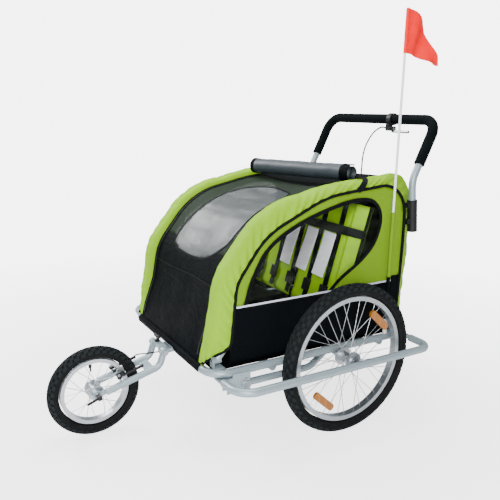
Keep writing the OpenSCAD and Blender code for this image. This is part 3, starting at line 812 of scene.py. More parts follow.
def ride_canopy(obj, slot="black_cloth"):
    """The middle of the cover stays with the frame and sinks when the upper hoop folds."""
    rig.squash(ride_frame(obj, slot), "right_side_fold", axis=(0, 0, 1), anchor=CANOPY_ANCHOR, keep=0.35)
    return obj


def ride_seat(obj, slot="lime_cloth"):
    """Seat parts are pressed to the floor when the upper hoop folds."""
    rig.squash(ride_frame(obj, slot), "right_side_fold", axis=(0, 0, 1), anchor=SEAT_ANCHOR, keep=0.02)
    return obj


def ride_band(obj, side, slot="lime_cloth"):
    """A band goes with its hoop and flattens towards it."""
    fold, anchor = side_name(side) + "_side_fold", metres((side * 285, 0, 0))
    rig.squash(ride_side(obj, side, slot), fold, axis=(1, 0, 0), anchor=anchor, keep=0.15)
    return obj


def ride_side(obj, side, slot="lime_cloth"):
    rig.ride(obj, side_name(side) + "_side")
    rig.slot(obj, slot)
    return obj


# ---------- cover ----------

SAG_AT = [0.0, 0.05, 0.18, 0.42, 0.60, 0.67, 0.80, 0.95, 1.0]
SAG_DEPTH = [0, 3, 12, 14, 9, 5, 6, 4, 0]
DROP_AT = [0, 0.03, 0.09, 0.55, 0.66, 0.70, 1.0]
DROP_DEPTH = [0, 3, 20, 20, 9, 4, 3]


def edge_drop(t):
    """How far below the bands' top the cloth between them is sewn in."""
    return np.interp(t, DROP_AT, DROP_DEPTH)


def cover_sag(x, t):
    """How far the cloth between the bands hangs inwards."""
    hollow = np.interp(t, SAG_AT, SAG_DEPTH) * (1 - (x / BAND_X) ** 2)
    fold = 2.6 * ripple(x, t * SKIN.length * 0.45, 3, 95) + 1.1 * ripple(x, t * SKIN.length, 9, 38)
    return edge_drop(t) + hollow + fold * min(1.0, (BAND_X - abs(x)) / 40) * smooth_step(0, 0.02, t)


def cover_point(x, s):
    """A point of the cloth between the bands, from its place across and its distance along the skin."""
    t = s / SKIN.length
    y, z = SKIN.at(t) + inward(t) * cover_sag(x, t)
    return (x, y, z)


def front_window_outline():
    """The arched front window across the skin: (across, distance along the skin)."""
    return spline([(-96, 294), (-142, 318), (-156, 364), (-142, 440), (-130, 520), (-127, 600),
                   (-122, 655), (-98, 696), (-52, 720), (0, 728), (60, 722), (122, 702), (160, 660),
                   (178, 600), (187, 510), (190, 430), (184, 384), (150, 340), (96, 304), (0, 290),
                   (-96, 294)], 5)[:-1]


FRONT_SEAM = 225                         # distances along the skin: the seam across the front,
MESH_FROM = 340                          # and where the cover changes cloth
MESH_TO = 812
REAR_FROM = 1140


def creased_window(x, s):
    """The front window: the cover's shape with two level creases left by folding."""
    x0, y, z = cover_point(x, s)
    across = sum(math.exp(-((s - at - 0.05 * x) / 5) ** 2) for at in (470, 610))
    lift = inward(s / SKIN.length) * (-2.4 * across)
    return (x0, y + lift[0], z + lift[1])


def build_cover_middle():
    """Front, fly mesh, window, roof and rear as one sheet that is cut along its seams."""
    window = front_window_outline()
    seams = [np.array([(x, s) for x in np.linspace(-BAND_X, BAND_X, 41)])
             for s in (MESH_FROM, MESH_TO, REAR_FROM)]
    crossing = seams[0]
    beside = [crossing[crossing[:, 0] < -154], crossing[crossing[:, 0] > 162]]
    flat, faces = cut_sheet((-BAND_X, 0), (BAND_X, SKIN.length), 13, [window], beside + seams[1:])

    def choose(p):
        if inside(p, window):
            return "front_window"
        if p[1] < MESH_FROM:
            return "front_panel"
        if p[1] < MESH_TO:
            return "front_mesh"
        return "roof_panel" if p[1] < REAR_FROM else "rear_panel"

    thin = {"front_window": window_film, "front_mesh": net}
    for name, part in regions(flat, faces, choose).items():
        material, thickness = (thin[name], 0.8) if name in thin else (black_cloth, 1.6)
        lift = creased_window if name == "front_window" else cover_point
        ride_canopy(lift_region(name, flat, part, lift, material, thickness))
    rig.replaces(bpy.data.objects["roof_panel"], "left_cover", "right_cover")


def flat_until(t):
    """Where the skin's corner towards the side panel begins."""
    return np.interp(t, [0, 0.12, 0.6, 0.68, 1], [268, 274, 268, 243, 243])


def piping_x(t):
    """The piping swings in at the floor's front corner."""
    return PIPING_X - 40 * (1 - smooth_step(0, 0.065, t)) - 1.5 * smooth_step(0.7, 1, t)


def corner_bulge(t):
    """1 is a round corner; below 0 it is hollow, where the handlebar's sleeves stand behind the cover."""
    return np.interp(t, [0, 0.58, 0.66, 1], [1, 1, -0.3, -0.3])


CURL_END = 0.12                          # parts of a band's width: the edge rolled in to its seam,
TOP_END = 0.25                           # then the level part, then the corner down to the piping


def band_point(side, t, w):
    """A point of a green band; w runs from its inner seam at 0 to the piping at 1."""
    y, z = SKIN.at(t)
    edge = flat_until(t)
    curl = min(13, (edge - BAND_X) / 2)
    if w < CURL_END:
        turn = w / CURL_END * math.pi / 2
        down_y, down_z = inward(t) * edge_drop(t) * (1 - math.sin(turn))
        return np.array([side * (BAND_X + curl * (1 - math.cos(turn))), y + down_y, z + down_z])
    if w < TOP_END:
        reach = (w - CURL_END) / (TOP_END - CURL_END)
        return np.array([side * (BAND_X + curl + (edge - BAND_X - curl) * reach), y, z])
    v = (w - TOP_END) / (1 - TOP_END)
    b = corner_bulge(t)
    across = (1 - b) * v + b * math.sin(v * math.pi / 2)
    down = (1 - b) * v + b * (1 - math.cos(v * math.pi / 2))
    q = PIPING.at(t)
    x = edge + (piping_x(t) - edge) * across
    return np.array([side * x, y + (q[0] - y) * down, z + (q[1] - z) * down])


def padding(t):
    """How far a band's padding swells it, in millimetres."""
    return 3.5 * (1 - smooth_step(0.55, 0.64, t))


def pucker(t, w):
    """Small gathers along the piping of a band."""
    s = t * SKIN.length
    beat = 0.5 + 0.5 * ripple(s, 0, 40, 130)
    gather = math.sin(s / 6.0 + 9 * w + 3 * ripple(s, 10, 0, 50)) * (0.12 + 0.8 * w * w) * beat
    return 6.6 * gather + 4.6 * ripple(s, 90 * w, 0, 42)


def build_band(side):
    """The padded green band over one hoop, with its inner binding and its piping."""
    name = side_name(side)
    rows = 330
    ts = np.linspace(0, 1, rows)
    ws = np.concatenate([np.linspace(0, 0.12, 7), np.linspace(0.155, 1, 20)])
    points = np.array([[band_point(side, t, w) for w in ws] for t in ts])
    normal = np.cross(np.gradient(points, axis=0), np.gradient(points, axis=1)) * side
    normal /= np.linalg.norm(normal, axis=2)[:, :, None]
    if normal[rows // 2, 2, 2] < 0:
        normal = -normal
    for i, t in enumerate(ts):
        full = padding(t) * smooth_step(0, 0.03, t)
        for j, w in enumerate(ws):
            gathers = pucker(t, w) * min(1, 5 * w, 10 * (1 - w)) * smooth_step(0, 0.01, t)
            points[i, j] += normal[i, j] * (full * math.sin(math.pi * w) + gathers)
    uv = np.array([[(s * SKIN.length * MM, w * 0.11) for w in ws] for s in ts])
    if side < 0:
        points, uv = points[:, ::-1], uv[:, ::-1]
    band = thicken(grid(name + "_band", points, lime_cloth, uv), 2.2)
    ride_band(band, side)
    seam = [(side * BAND_X, *(SKIN.at(t) + inward(t) * (edge_drop(t) - 0.6)))
            for t in np.linspace(0, 1, 200)]
    ride_band(tube(name + "_band_binding", seam, 2.4, binding, 8), side, "black_cloth")
    line = [(side * (piping_x(t) + 0.5), *PIPING.at(t)) for t in np.linspace(0, 1, 220)]
    ride_side(tube(name + "_piping", line, 5.0, binding, 12), side, "black_cloth")


STRAP_Y = 108                            # where the roll's straps cross the bands


def build_band_straps():
    """Black straps that run from the rolled cover over each band to the piping."""
    t = min(np.linspace(0.4, 0.7, 200), key=lambda v: abs(SKIN.at(v)[0] - STRAP_Y))
    for side in (-1, 1):
        name = side_name(side)
        path, out = [], []
        for w in np.linspace(0.03, 1.0, 26):
            p = band_point(side, t, w)
            across = band_point(side, t, min(1, w + 0.02)) - band_point(side, t, max(0, w - 0.02))
            normal = unit(np.cross(across, [0, 1, 0.1]) * side)
            path.append(p + normal * (padding(t) * math.sin(math.pi * w) + 3.4))
            out.append(normal)
        ride_band(ribbon(name + "_band_strap", path, out, 18, 2.0, webbing), side, "black_cloth")


def patch(name, across, along, rise, material, thickness=1.4):
    """A piece of cloth that lies on the middle of the cover, risen by rise millimetres."""
    ride_canopy(sheet(name, np.linspace(*along, 20), np.linspace(*across, 24),
                      lambda s, x: np.array(cover_point(x, s)) + outward(s) * rise,
                      lambda s, x: (x * MM, s * MM), material, thickness))


def zip_fastener(name, x, levels, width):
    """A zip along the cover: its tape and its row of teeth."""
    out = [outward(s) for s in levels]
    path = [np.array(cover_point(x, s)) + o * 1.4 for s, o in zip(levels, out)]
    ride_canopy(ribbon(name + "_tape", path, out, width, 1.0, binding))
    teeth = [p + o for p, o in zip(path, out)]
    ride_canopy(ribbon(name + "_teeth", teeth, out, 4, 1.6, plastic), "black_plastic")


def build_rear_details():
    """Black lining inside; outside a pocket with its flap, a reflective strip and the rear zips."""
    end = SKIN.length
    patch("rear_lining", (-BAND_X + 12, BAND_X - 8), (REAR_FROM + 20, end - 90), -7, black_solid)
    patch("rear_pocket", (-170, 170), (end - 250, end - 40), 4, black_side)
    patch("rear_pocket_flap", (-176, 176), (end - 300, end - 240), 6.5, black_cloth)
    patch("rear_reflective_strip", (-168, 168), (end - 150, end - 132), 6, reflective, 1.0)
    for side in (-1, 1):
        zip_fastener(side_name(side) + "_rear_zip", side * 205, np.linspace(REAR_FROM + 20, end - 20, 60), 16)


def build_front_skirt():
    """Cloth that wraps over the front tube, cut away round the arm's bracket."""
    notch, reach = 66, 252
    rows = []
    for x in np.linspace(-reach, reach, 64):
        low = 232 - 62 * (1 - smooth_step(notch, notch + 10, abs(x)))
        angles = np.radians(np.linspace(112, low, 9))
        row = [(x, FRONT_Y, FLOOR_Z + 3)]
        r = TUBE_R + 2.4 + 0.6 * ripple(x, 0, 0, 30)
        row += [(x, FRONT_TUBE_Y + r * math.cos(a), RAIL_Z + r * math.sin(a)) for a in angles]
        rows.append(row)
    points = np.array(rows)
    uv = np.array([[(p[0] * MM, k * 0.005) for k, p in enumerate(row)] for row in rows])
    ride_frame(thicken(grid("front_skirt", points, black_cloth, uv), 1.4, 1.0), "black_cloth")


def build_cover_trim():
    """Zips beside the bands, the front window's binding and the seam across the front."""
    for side in (-1, 1):
        zip_fastener(side_name(side) + "_zip", side * (BAND_X - 11), np.linspace(22, MESH_TO, 130), 13)
    xs = np.linspace(-BAND_X + 2, BAND_X - 2, 70)
    ridge = [outward(FRONT_SEAM)] * len(xs)
    seam = [np.array(cover_point(x, FRONT_SEAM + 4 * math.sin(x / 90))) + ridge[0] * 0.8 for x in xs]
    ride_canopy(ribbon("front_seam", seam, ridge, 5, 1.6, binding))
    loop = front_window_outline()
    loop = Line(np.concatenate([loop, loop[:1]])).even(9)
    edge = [np.array(cover_point(*p)) for p in loop]
    out = [outward(p[1]) for p in loop]
    path = [p + o * 0.8 for p, o in zip(edge, out)]
    ride_canopy(ribbon("front_window_binding", path, out, 7, 1.4, binding))


# ---------- side panels ----------


def side_window_outline():
    """The drop-shaped side window, open along its foot."""
    return spline([(-346, SEAM_Z), (-318, 545), (-262, 630), (-150, 694), (-10, 738), (83, 750), (140, 734),
                   (167, 682), (146, 606), (93, 551), (10, 498), (-36, SEAM_Z)], 7)


def side_outline():
    """The side panel within its piping, from its lower front corner round over the top."""
    line = np.array([PIPING.at(t) for t in np.linspace(0.066, 1, 150)])
    return np.concatenate([[(-397, FLOOR_Z + 3)], line, [(PIPING.at(1)[0], FLOOR_Z + 3)]])


def build_side_panel(side):
    """Green panel with its window over a black lower part that bends at the hoop's hinge."""
    name = side_name(side)
    window, outline = side_window_outline(), side_outline()
    seam_ends = (-384, 277)
    left = np.array([(y, SEAM_Z) for y in np.linspace(seam_ends[0], window[0][0], 5)])[:-1]
    right = np.array([(y, SEAM_Z) for y in np.linspace(window[-1][0], seam_ends[1], 26)])[1:]
    flat, faces = cut_sheet((-400, FLOOR_Z + 3), (290, 810), 13, [outline, window], [left, right])

    def choose(p):
        if not inside(p, outline):
            return None
        if inside(p, window):
            return "window"
        return "lower" if p[1] < SEAM_Z else "upper"

    def lift(y, z):
        wave = 1.5 * ripple(y, z, 5, 90)
        return (side * (SIDE_X - 0.5 + wave), y, z)

    parts = regions(flat, faces, choose)
    flip = side < 0
    # The green of the side panel is the darker copy of the lime cloth: painted shade.
    upper = lift_region(name + "_side_cloth", flat, parts["upper"], lift, lime_shaded_side, 1.6, flip)
    ride_side(upper, side)
    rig.replaces(upper, name + "_side_panel")
    ride_side(lift_region(name + "_side_window", flat, parts["window"], lift, side_film, 0.8, flip), side)
    lower = lift_region(name + "_lower_cloth", flat, parts["lower"], lift, black_side, 1.6, flip)
    hinge = 310 if side > 0 else 355
    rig.blend(lower, "frame", name + "_side", metres((0, 0, FLOOR_Z + 3)), metres((0, 0, hinge)))
    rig.slot(lower, "black_cloth")

    normal = (side, 0, 0)
    closed = np.concatenate([window, [(-200, SEAM_Z)], window[:1]])
    border = Line(rounded(closed, [0] * len(closed))).even(7)
    path = [(side * (SIDE_X + 1.4), y, z) for y, z in border]
    tape = ribbon(name + "_window_tape", path, [normal] * len(path), 12, 2.0, binding)
    ride_side(tape, side, "black_cloth")
    path = [(side * (SIDE_X + 2.0), y, SEAM_Z + 2 + 0.004 * (y + 380)) for y in np.linspace(-380, 230, 70)]
    line = ribbon(name + "_reflective_line", path, [normal] * len(path), 6, 1.6, reflective)
    ride_side(line, side, "white_glassfibre")
    path = [(side * (SIDE_X + 1.8), y, 412) for y in np.linspace(232, 272, 8)]
    pocket = ribbon(name + "_flag_pocket", path, [normal] * len(path), 134, 2.4, black_side)
    ride_side(pocket, side, "black_cloth")


# ---------- wheels ----------


def on_tyre(centre, mid, r, theta, phi):
    """A point on a tyre's section circle: theta round the wheel, phi round the section."""
    reach = mid + r * math.cos(phi)
    return (centre[0] + r * math.sin(phi), centre[1] + reach * math.cos(theta),
            centre[2] + reach * math.sin(theta))


def build_tyre(wheel, knobs):
    """A knobby tyre in the space of its CAD node; returns its centre."""
    low, high = box(wheel + "_tyre")
    centre = (low + high) / 2
    outer, half = (high[2] - low[2]) / 2, (high[0] - low[0]) / 2
    mid, r = outer - half, half - 4.2
    bead = [(130, 1.0), (148, 0.86)]
    phis = [-a for a, _ in reversed(bead)] + list(range(-116, 117, 8)) + [a for a, _ in bead]
    scale = {abs(a): k for a, k in bead}
    verts, faces = [], []
    around = 120
    for i in range(around):
        theta = 2 * math.pi * i / around
        for phi in phis:
            rib = 0.7 if 72 <= abs(phi) <= 80 or 100 <= abs(phi) <= 104 else 0.0
            verts.append(on_tyre(centre, mid, r * scale.get(abs(phi), 1.0) + rib, theta, math.radians(phi)))
    n = len(phis)
    for i in range(around):
        j = (i + 1) % around
        faces += [(i * n + k, i * n + k + 1, j * n + k + 1, j * n + k) for k in range(n - 1)]
        faces.append((i * n + n - 1, i * n, j * n, j * n + n - 1))
    carcass = len(faces)
    rows = [(11, 17, 9, 0.0), (-11, 17, 9, 0.5), (37, 14, 9, 0.5), (-37, 14, 9, 0.0), (64, 17, 10, 0.0),
            (-64, 17, 10, 0.5)]
    for phi, length, width, phase in rows:
        for k in range(knobs):
            theta = 2 * math.pi * (k + phase) / knobs
            base = len(verts)
            for height, grow in ((-0.8, 1.12), (4.2, 0.86)):
                reach = mid + r * math.cos(math.radians(phi))
                dt = length * grow / 2 / reach
                dp = width * grow / 2 / r
                for a, b in ((-1, -1), (1, -1), (1, 1), (-1, 1)):
                    turn = theta + a * dt + 0.25 * b * dt
                    verts.append(on_tyre(centre, mid, r + height, turn, math.radians(phi) + b * dp))
            faces += [(base + 4, base + 5, base + 6, base + 7), (base + 3, base + 2, base + 1, base)]
            faces += [(base + q, base + (q + 1) % 4, base + (q + 1) % 4 + 4, base + q + 4) for q in range(4)]
    tyre = finish_mesh(wheel + "_tyre_knobby", verts, faces, rubber, sharp=35)
    # The knobs take the lighter copy of the rubber: painted light.
    tyre.data.materials.append(lit_knob_rubber)
    for polygon in tyre.data.polygons[carcass:]:
        polygon.material_index = 1
    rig.ride(tyre, wheel + "_wheel")
    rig.replaces(tyre, wheel + "_tyre")
    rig.slot(tyre, "tyre_rubber")
    return centre


def build_valve(wheel, centre, angle):
    """A rubber valve with its cap, standing inwards from the rim at an angle from the horizontal."""
    rim_r = box(wheel + "_rim")[1][2] - centre[2]
    a = math.radians(angle)
    way = np.array([0, math.cos(a), math.sin(a)])
    top = np.array(centre) + way * (rim_r - 9)
    turn, across = np.cross(way, [1, 0, 0]), np.array([1, 0, 0])
    steps = [2 * math.pi * k / 14 for k in range(14)]
    profile = [(0, 3.6), (6, 3.4), (8, 4.4), (19, 4.4), (21, 3.0), (31, 3.0), (33, 2.2)]
    rings = np.array([[top - way * depth + turn * r * math.cos(b) + across * r * math.sin(b) for b in steps]
                      for depth, r in profile])
    ends = [tuple(reversed(end)) for end in caps(len(profile), 14)]
    valve = finish_mesh(wheel + "_valve", rings.reshape(-1, 3), wall(len(profile), 14) + ends, plastic)
    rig.ride(valve, wheel + "_wheel")
    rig.slot(valve, "black_plastic")


# ---------- flag, roll, cables ----------


def build_flag():
    """A triangular pennant with a hemmed sleeve, hanging in folds."""
    low, high = box("flag")
    pole_x = (low[0] + high[0]) / 2
    top = Line(spline([(low[1], high[2]), (low[1] + 40, high[2] - 13), (low[1] + 82, high[2] - 64),
                       (high[1], low[2])], 10))
    foot = Line(spline([(low[1], high[2] - 132), (low[1] + 42, high[2] - 138), (low[1] + 80, high[2] - 150),
                        (high[1], low[2])], 10))

    def place(t, w):
        y, z = top.at(t) + (foot.at(t) - top.at(t)) * w
        swing = 11 * math.sin(9.5 * t + 1.7 * w) * smooth_step(0, 0.35, t) + 3 * ripple(y, z, 0, 30)
        return np.array([pole_x + swing * smooth_step(0, 0.15, t), y, z])

    flag = sheet("flag_cloth", np.linspace(0, 1, 60), np.linspace(0, 1, 30), place,
                 lambda t, w: place(t, w)[1:] * MM, red_cloth, 0.9)
    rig.replaces(ride_frame(flag, "red_cloth"), "flag")
    hem = [(pole_x, low[1] - 4, z) for z in np.linspace(high[2] - 132, high[2] - 1, 20)]
    ride_frame(tube("flag_sleeve", hem, 5.6, red_cloth, 14, (0, 1, 0)), "red_cloth")


def build_pole_sleeve():
    """Green cloth loop on the side panel that holds the flag pole, over a black pocket."""
    low, high = box("flag")
    pole_x = (low[0] + high[0]) / 2
    path = [(pole_x + 0.5 * ripple(z, 3, 0, 30), low[1] - 4, z) for z in np.linspace(479, 702, 60)]
    ride_frame(tube("pole_sleeve", path, 5.6, lime_shaded_side, 14, (0, 1, 0)), "lime_cloth")
    path = [(pole_x, low[1] - 4, z) for z in np.linspace(333, 481, 24)]
    ride_frame(tube("pole_pocket", path, 6.4, black_side, 14, (0, 1, 0)), "black_cloth")


def build_roll():
    """The rain cover: a spiral of film and cloth, black at its ends, tied across the roof."""
    low, high = box("rolled_cover")
    r, rest = 30, 17
    a = np.array([low[0] + 4, low[1] + r, low[2] + r - rest])
    b = np.array([high[0] - 8, high[1] - r, high[2] - r - rest])
    way = unit(b - a)
    side = unit(np.cross(way, [0, 0, 1]))
    up = np.cross(side, way)
    turns, steps = 3.2, 130

    def point(l, k, grow):
        f = k / steps
        angle = f * turns * 2 * math.pi + 0.8
        sag = 1.5 * ripple(l * 460, math.cos(angle) * 30, math.sin(angle) * 30, 42)
        rad = 7 + (r - 8.5) * f + grow + sag
        return a + (b - a) * l + side * rad * math.cos(angle) + up * rad * math.sin(angle)

    outer = int(steps * 0.66)
    spans = [("rolled_cover_film", 0, 1, roll_film, 56, 0.0, 0),
             ("rolled_cover_far_hem", -0.006, 0.03, black_cloth, 6, 1.5, outer),
             ("rolled_cover_near_hem", 0.93, 1.006, black_cloth, 8, 1.5, outer)]
    for name, start, end, material, rows, grow, first in spans:
        piece = sheet(name, np.linspace(start, end, rows), range(first, steps + 1),
                      lambda l, k: point(l, k, grow), lambda l, k: (l * 0.47, k * 0.0035), material, 1.2)
        ride_canopy(piece)
        if name == "rolled_cover_film":
            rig.replaces(piece, "rolled_cover")


def build_cables():
    """The brake cable from the lever down behind the cabin, and from the frame to the front brake."""
    clamp = box("brake_lever_clamp")[0]
    cable_low, cable_high = box("brake_cable")
    x = (cable_low[0] + cable_high[0]) / 2
    start = (clamp[0] + 2, (clamp[1] + 396) / 2 + 2, clamp[2] + 10)
    upper = spline([start, (30, 392, 968), (-10, 388, 940), (-45, 386, 880), (-52, 384, 800),
                    (-44, 376, 600), (-30, 370, 380), (x, 352, 262), (x, cable_high[1], 250)], 10)
    rear = tube("brake_cable_rear", upper, 2.9, plastic, 10)
    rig.blend(rear, "frame", "handle", metres((0, 380, 420)), metres((0, 390, 900)))
    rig.slot(rear, "black_plastic")
    lower = spline([(x, cable_low[1] + 3, 228), (x, -480, 223), (-27, -530, 224), (-34, -560, 224),
                    (-38, -574, 218)], 8)
    front = tube("brake_cable_front", lower, 2.0, plastic, 10)
    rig.blend(front, "frame", "arm", metres((0, -462, 228)), metres((0, -520, 224)))
    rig.slot(front, "black_plastic")


# ---------- floor and seat ----------


def build_floor():
    """The cloth floor: a shallow tray that sags between the tubes."""
    low, high = box("floor_pan")

    def place(y, x):
        edge = min(x - low[0], high[0] - x, y - low[1], high[1] - y)
        rise = 11.5 * (1 - smooth_step(0, 16, edge))
        return (x, y, low[2] + 3 + rise + 0.8 * ripple(x, y, 0, 60))

    floor = sheet("floor_cloth", np.linspace(low[1], high[1], 70), np.linspace(low[0], high[0], 60), place,
                  lambda y, x: (x * MM, y * MM), black_solid, 1.6)
    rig.replaces(ride_frame(floor, "black_cloth"), "floor_pan")


def cushion(name, corners, thickness, material, cap):
    """A padded rectangle between four corner points, swollen by a short cloth simulation."""
    a, b, c, d = [np.array(p, float) for p in corners]
    normal = unit(np.cross(b - a, d - a))
    rows, cols = 16, 24
    verts, faces = [], []
    for layer in (-1, 1):
        for i in range(rows + 1):
            for j in range(cols + 1):
                u, v = j / cols, i / rows
                p = a * (1 - u) * (1 - v) + b * u * (1 - v) + c * u * v + d * (1 - u) * v
                edge = min(1.0, 9 * min(u, 1 - u), 7 * min(v, 1 - v))
                verts.append(p + normal * layer * thickness / 2 * (0.35 + 0.65 * math.sqrt(edge)))
    n, size = cols + 1, (rows + 1) * (cols + 1)
    for i in range(rows):
        for j in range(cols):
            k = i * n + j
            faces.append((k, k + n, k + n + 1, k + 1))
            faces.append((size + k, size + k + 1, size + k + n + 1, size + k + n))
    rim = list(range(cols)) + [i * n + cols for i in range(rows)]
    rim += [rows * n + j for j in range(cols, 0, -1)] + [i * n for i in range(rows, 0, -1)]
    for k, i in enumerate(rim):
        j = rim[(k + 1) % len(rim)]
        faces.append((i, j, size + j, size + i))
    obj = finish_mesh(name, verts, faces, material)
    remesh = obj.modifiers.new("remesh", "REMESH")
    remesh.mode = "VOXEL"
    remesh.voxel_size = 6 * MM
    bake_modifiers(obj)
    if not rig.quick():
        inflate(obj, cap)
    smooth = obj.modifiers.new("smooth", "SUBSURF")
    smooth.levels = smooth.render_levels = 1
    bake_modifiers(obj)
    obj.data.shade_smooth()
    obj.data.materials.clear()
    obj.data.materials.append(material)
    return obj


def inflate(obj, cap, pressure=4.0, frames_run=20):
    """Swells a closed mesh with cloth pressure; no point moves further than cap millimetres."""
    before = np.array([v.co for v in obj.data.vertices])
    cloth = obj.modifiers.new("cloth", "CLOTH")
    cloth.settings.use_pressure = True
    cloth.settings.uniform_pressure_force = pressure
    cloth.settings.effector_weights.gravity = 0
    scene = bpy.context.scene
    for k in range(1, frames_run + 1):
        scene.frame_set(k)
    bake_modifiers(obj)
    scene.frame_set(1)
    after = np.array([v.co for v in obj.data.vertices])
    move = after - before
    size = np.linalg.norm(move, axis=1)[:, None]
    limited = before + move * np.minimum(1, cap * MM / np.maximum(size, 1e-9))
    obj.data.vertices.foreach_set("co", limited.ravel())
    obj.data.update()


SEAT_LOW, SEAT_HIGH = box("seat")
WING_X = 281                             # outer edge of the cloth wings beside the seat backs
BACK_FOOT = np.array([0, 7.0, 362])      # front face of the backs, at its foot and at its top
BACK_TOP = np.array([0, 116.0, 732])
BACK_SLOPE = unit(BACK_TOP - BACK_FOOT)
BACK_FACE = np.array([0, -BACK_SLOPE[2], BACK_SLOPE[1]])


def on_back(x, z, off):
    """A point off millimetres in front of the seat backs."""
    foot = BACK_FOOT + np.array([x, 0, 0])
    return foot + BACK_SLOPE * (z - BACK_FOOT[2]) / BACK_SLOPE[2] + BACK_FACE * off


def back_tape(name, path, width, thickness, material, slot="black_cloth"):
    """A tape that lies on the seat backs."""
    tape = ribbon(name, path, [BACK_FACE] * len(path), width, thickness, material)
    return ride_seat(tape, slot)


def wing_depth(x):
    """How far the seat cloth lies off the back's plane, x millimetres from the middle."""
    return -3 - 38 * smooth_step(SEAT_HIGH[0] - 14, WING_X, x)


def build_seat():
    """Two seat bases and two backs, side by side, with wings out to the cabin's sides and a cross strap."""
    half = SEAT_HIGH[0]
    for side in (-1, 1):
        name = side_name(side)
        x0, x1 = sorted((side * 5, side * (half - 6)))
        base = [(x0, SEAT_LOW[1] + 8, 341), (x1, SEAT_LOW[1] + 8, 341), (x1, 14, 341), (x0, 14, 341)]
        ride_seat(cushion(name + "_seat_base", base, 15, black_solid, 5), "black_cloth")
        back = [on_back(x, z, -17) for x, z in ((x0, 350), (x1, 350), (x1, 734), (x0, 734))]
        piece = ride_seat(cushion(name + "_seat_back", back, 17, lime_lit_pad, 6))
        if side > 0:
            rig.replaces(piece, "seat")
        ride_seat(sheet(name + "_seat_wing", np.linspace(356, 726, 30), np.linspace(half - 12, WING_X, 12),
                        lambda z, x: on_back(side * x, z, wing_depth(x)), lambda z, x: (x * MM, z * MM),
                        lime_lit_pad, 1.6))
        x = WING_X - 8
        edge = [on_back(side * x, z, wing_depth(x) + 2) for z in np.linspace(352, 730, 30)]
        back_tape(name + "_seat_wing_edge", edge, 24, 2.6, webbing)
    strap = [on_back(x, 634, wing_depth(abs(x)) + 10 + 1.5 * math.sin(x / 31))
             for x in np.linspace(-WING_X, WING_X, 60)]
    back_tape("seat_cross_strap", strap, 30, 2.4, webbing)


def build_harness():
    """Shoulder straps with buckles, the strip between the seats and plain white pads beside the straps."""
    levels = np.linspace(372, 728, 34)
    for k, x in enumerate((-200, -105, 0, 105, 200)):
        path = [on_back(x + 3 * math.sin(z / 60), z, 4 + 2 * math.sin(z / 47 + k)) for z in levels]
        strap = back_tape("harness_strap_%d" % (k + 1), path, 24, 2.0, webbing)
        if k == 0:
            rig.replaces(strap, "harness")
        clip = [on_back(x, z, 6) for z in np.linspace(404, 444, 6)]
        back_tape("harness_buckle_%d" % (k + 1), clip, 34, 9, plastic, "black_plastic")
    levels = np.linspace(466, 616, 16)
    for k, x in enumerate((-50, 55, 154)):
        path = [on_back(x + 0.05 * (z - 540), z, 6 + 2 * math.sin(z / 37 + k)) for z in levels]
        back_tape("harness_pad_%d" % (k + 1), path, 60, 4, white_cloth)


# ---------- stage ----------


def build_sky():
    """Soft grey light from all round, while the camera sees a white backdrop."""
    world = bpy.data.worlds.new("studio")
    bpy.context.scene.world = world
    world.use_nodes = True
    tree = world.node_tree
    light = tree.nodes["Background"]
    light.inputs[0].default_value = (0.94, 0.97, 1.0, 1)
    light.inputs[1].default_value = 0.42
    backdrop = tree.nodes.new("ShaderNodeBackground")
    backdrop.inputs[0].default_value = (1, 1, 1, 1)
    backdrop.inputs[1].default_value = GLOW
    path = tree.nodes.new("ShaderNodeLightPath")
    mix = tree.nodes.new("ShaderNodeMixShader")
    tree.links.new(path.outputs["Is Camera Ray"], mix.inputs[0])
    tree.links.new(light.outputs[0], mix.inputs[1])
    tree.links.new(backdrop.outputs[0], mix.inputs[2])
    tree.links.new(mix.outputs[0], tree.nodes["World Output"].inputs["Surface"])


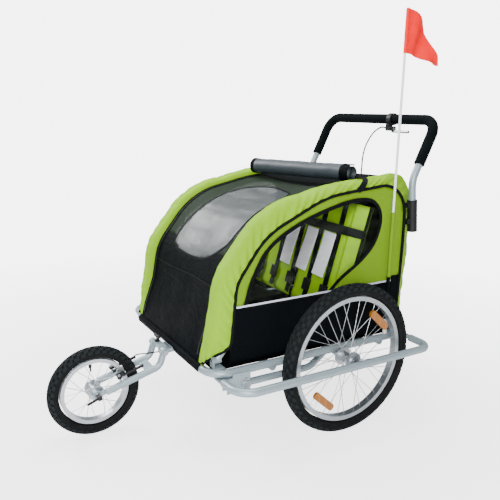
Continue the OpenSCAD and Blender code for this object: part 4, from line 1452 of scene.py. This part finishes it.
def floor_look():
    """Pale floor that fades into the white backdrop away from the trailer."""
    look = Look("pale_floor", (0.93, 0.93, 0.93), 0.9, Specular_IOR_Level=0.1)
    look.bump(look.noise(look.place(), 8, 2), 0.1, 0.1)
    reach = look.add("ShaderNodeVectorMath", look.add("ShaderNodeNewGeometry").outputs["Position"])
    reach.operation = "LENGTH"
    far = look.span(reach.outputs["Value"], 0.7, 2.4, 0.45, 1.0)
    seen = look.calc("MULTIPLY", far, look.add("ShaderNodeLightPath").outputs["Is Camera Ray"])
    glow = look.add("ShaderNodeEmission", Strength=GLOW)
    mix = look.add("ShaderNodeMixShader", seen, look.skin.outputs[0], glow.outputs[0])
    look.tree.links.new(mix.outputs[0], look.tree.nodes["Material Output"].inputs["Surface"])
    return look.material


# name, place and size in metres, and watts
LAMPS = (("key", (2.6, -2.0, 2.2), 1.3, 105), ("fill", (-2.8, -1.6, 3.0), 1.6, 200),
         ("top", (-0.4, 0.4, 3.8), 2.2, 175), ("window", (2.5, -1.2, 0.9), 0.9, 48))
GLOW = 6.0                               # strength of the white backdrop


def build_stage():
    """Pale floor and large soft lamps."""
    bpy.ops.mesh.primitive_plane_add(size=120)
    ground = bpy.context.object
    ground.name = "ground"
    ground.data.materials.append(floor_look())
    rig.stage(ground)
    for name, place, size, power in LAMPS:
        lamp = bpy.data.lights.new(name, "AREA")
        lamp.energy = power
        lamp.size = size
        obj = bpy.data.objects.new(name, lamp)
        obj.location = place
        obj.rotation_euler = (Vector((0, 0, 0.5)) - Vector(place)).to_track_quat("-Z", "Y").to_euler()
        bpy.context.scene.collection.objects.link(obj)


def build_camera():
    """The camera looks down by 13 degrees at the trailer's front left side."""
    data = bpy.data.cameras.new("camera")
    data.lens = 42
    data.sensor_width = 36
    camera = bpy.data.objects.new("camera", data)
    turn = Euler((math.radians(90 - 13.28), 0, math.radians(59.24))).to_matrix()
    roll = Matrix.Rotation(math.radians(0.96), 3, "Z")
    camera.matrix_world = Matrix.Translation((1.7131, -0.95445, 1.0161)) @ (turn @ roll).to_4x4()
    bpy.context.scene.collection.objects.link(camera)
    bpy.context.scene.camera = camera


dress_cad_nodes()
build_cover_middle()
build_front_skirt()
build_cover_trim()
build_band_straps()
build_rear_details()
for side in (1, -1):
    build_band(side)
    build_side_panel(side)
for wheel, knobs, valve_angle in (("left", 52, -12), ("right", 52, 150), ("front", 38, 97)):
    build_valve(wheel, build_tyre(wheel, knobs), valve_angle)
build_flag()
build_pole_sleeve()
build_roll()
build_cables()
build_floor()
build_seat()
build_harness()
build_sky()
build_stage()
build_camera()

sizes = {"cad": [list(corner) for corner in cad_box], "visual": [list(corner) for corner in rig.bounds()]}
with open("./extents.json", "w") as out_file:
    json.dump(sizes, out_file)
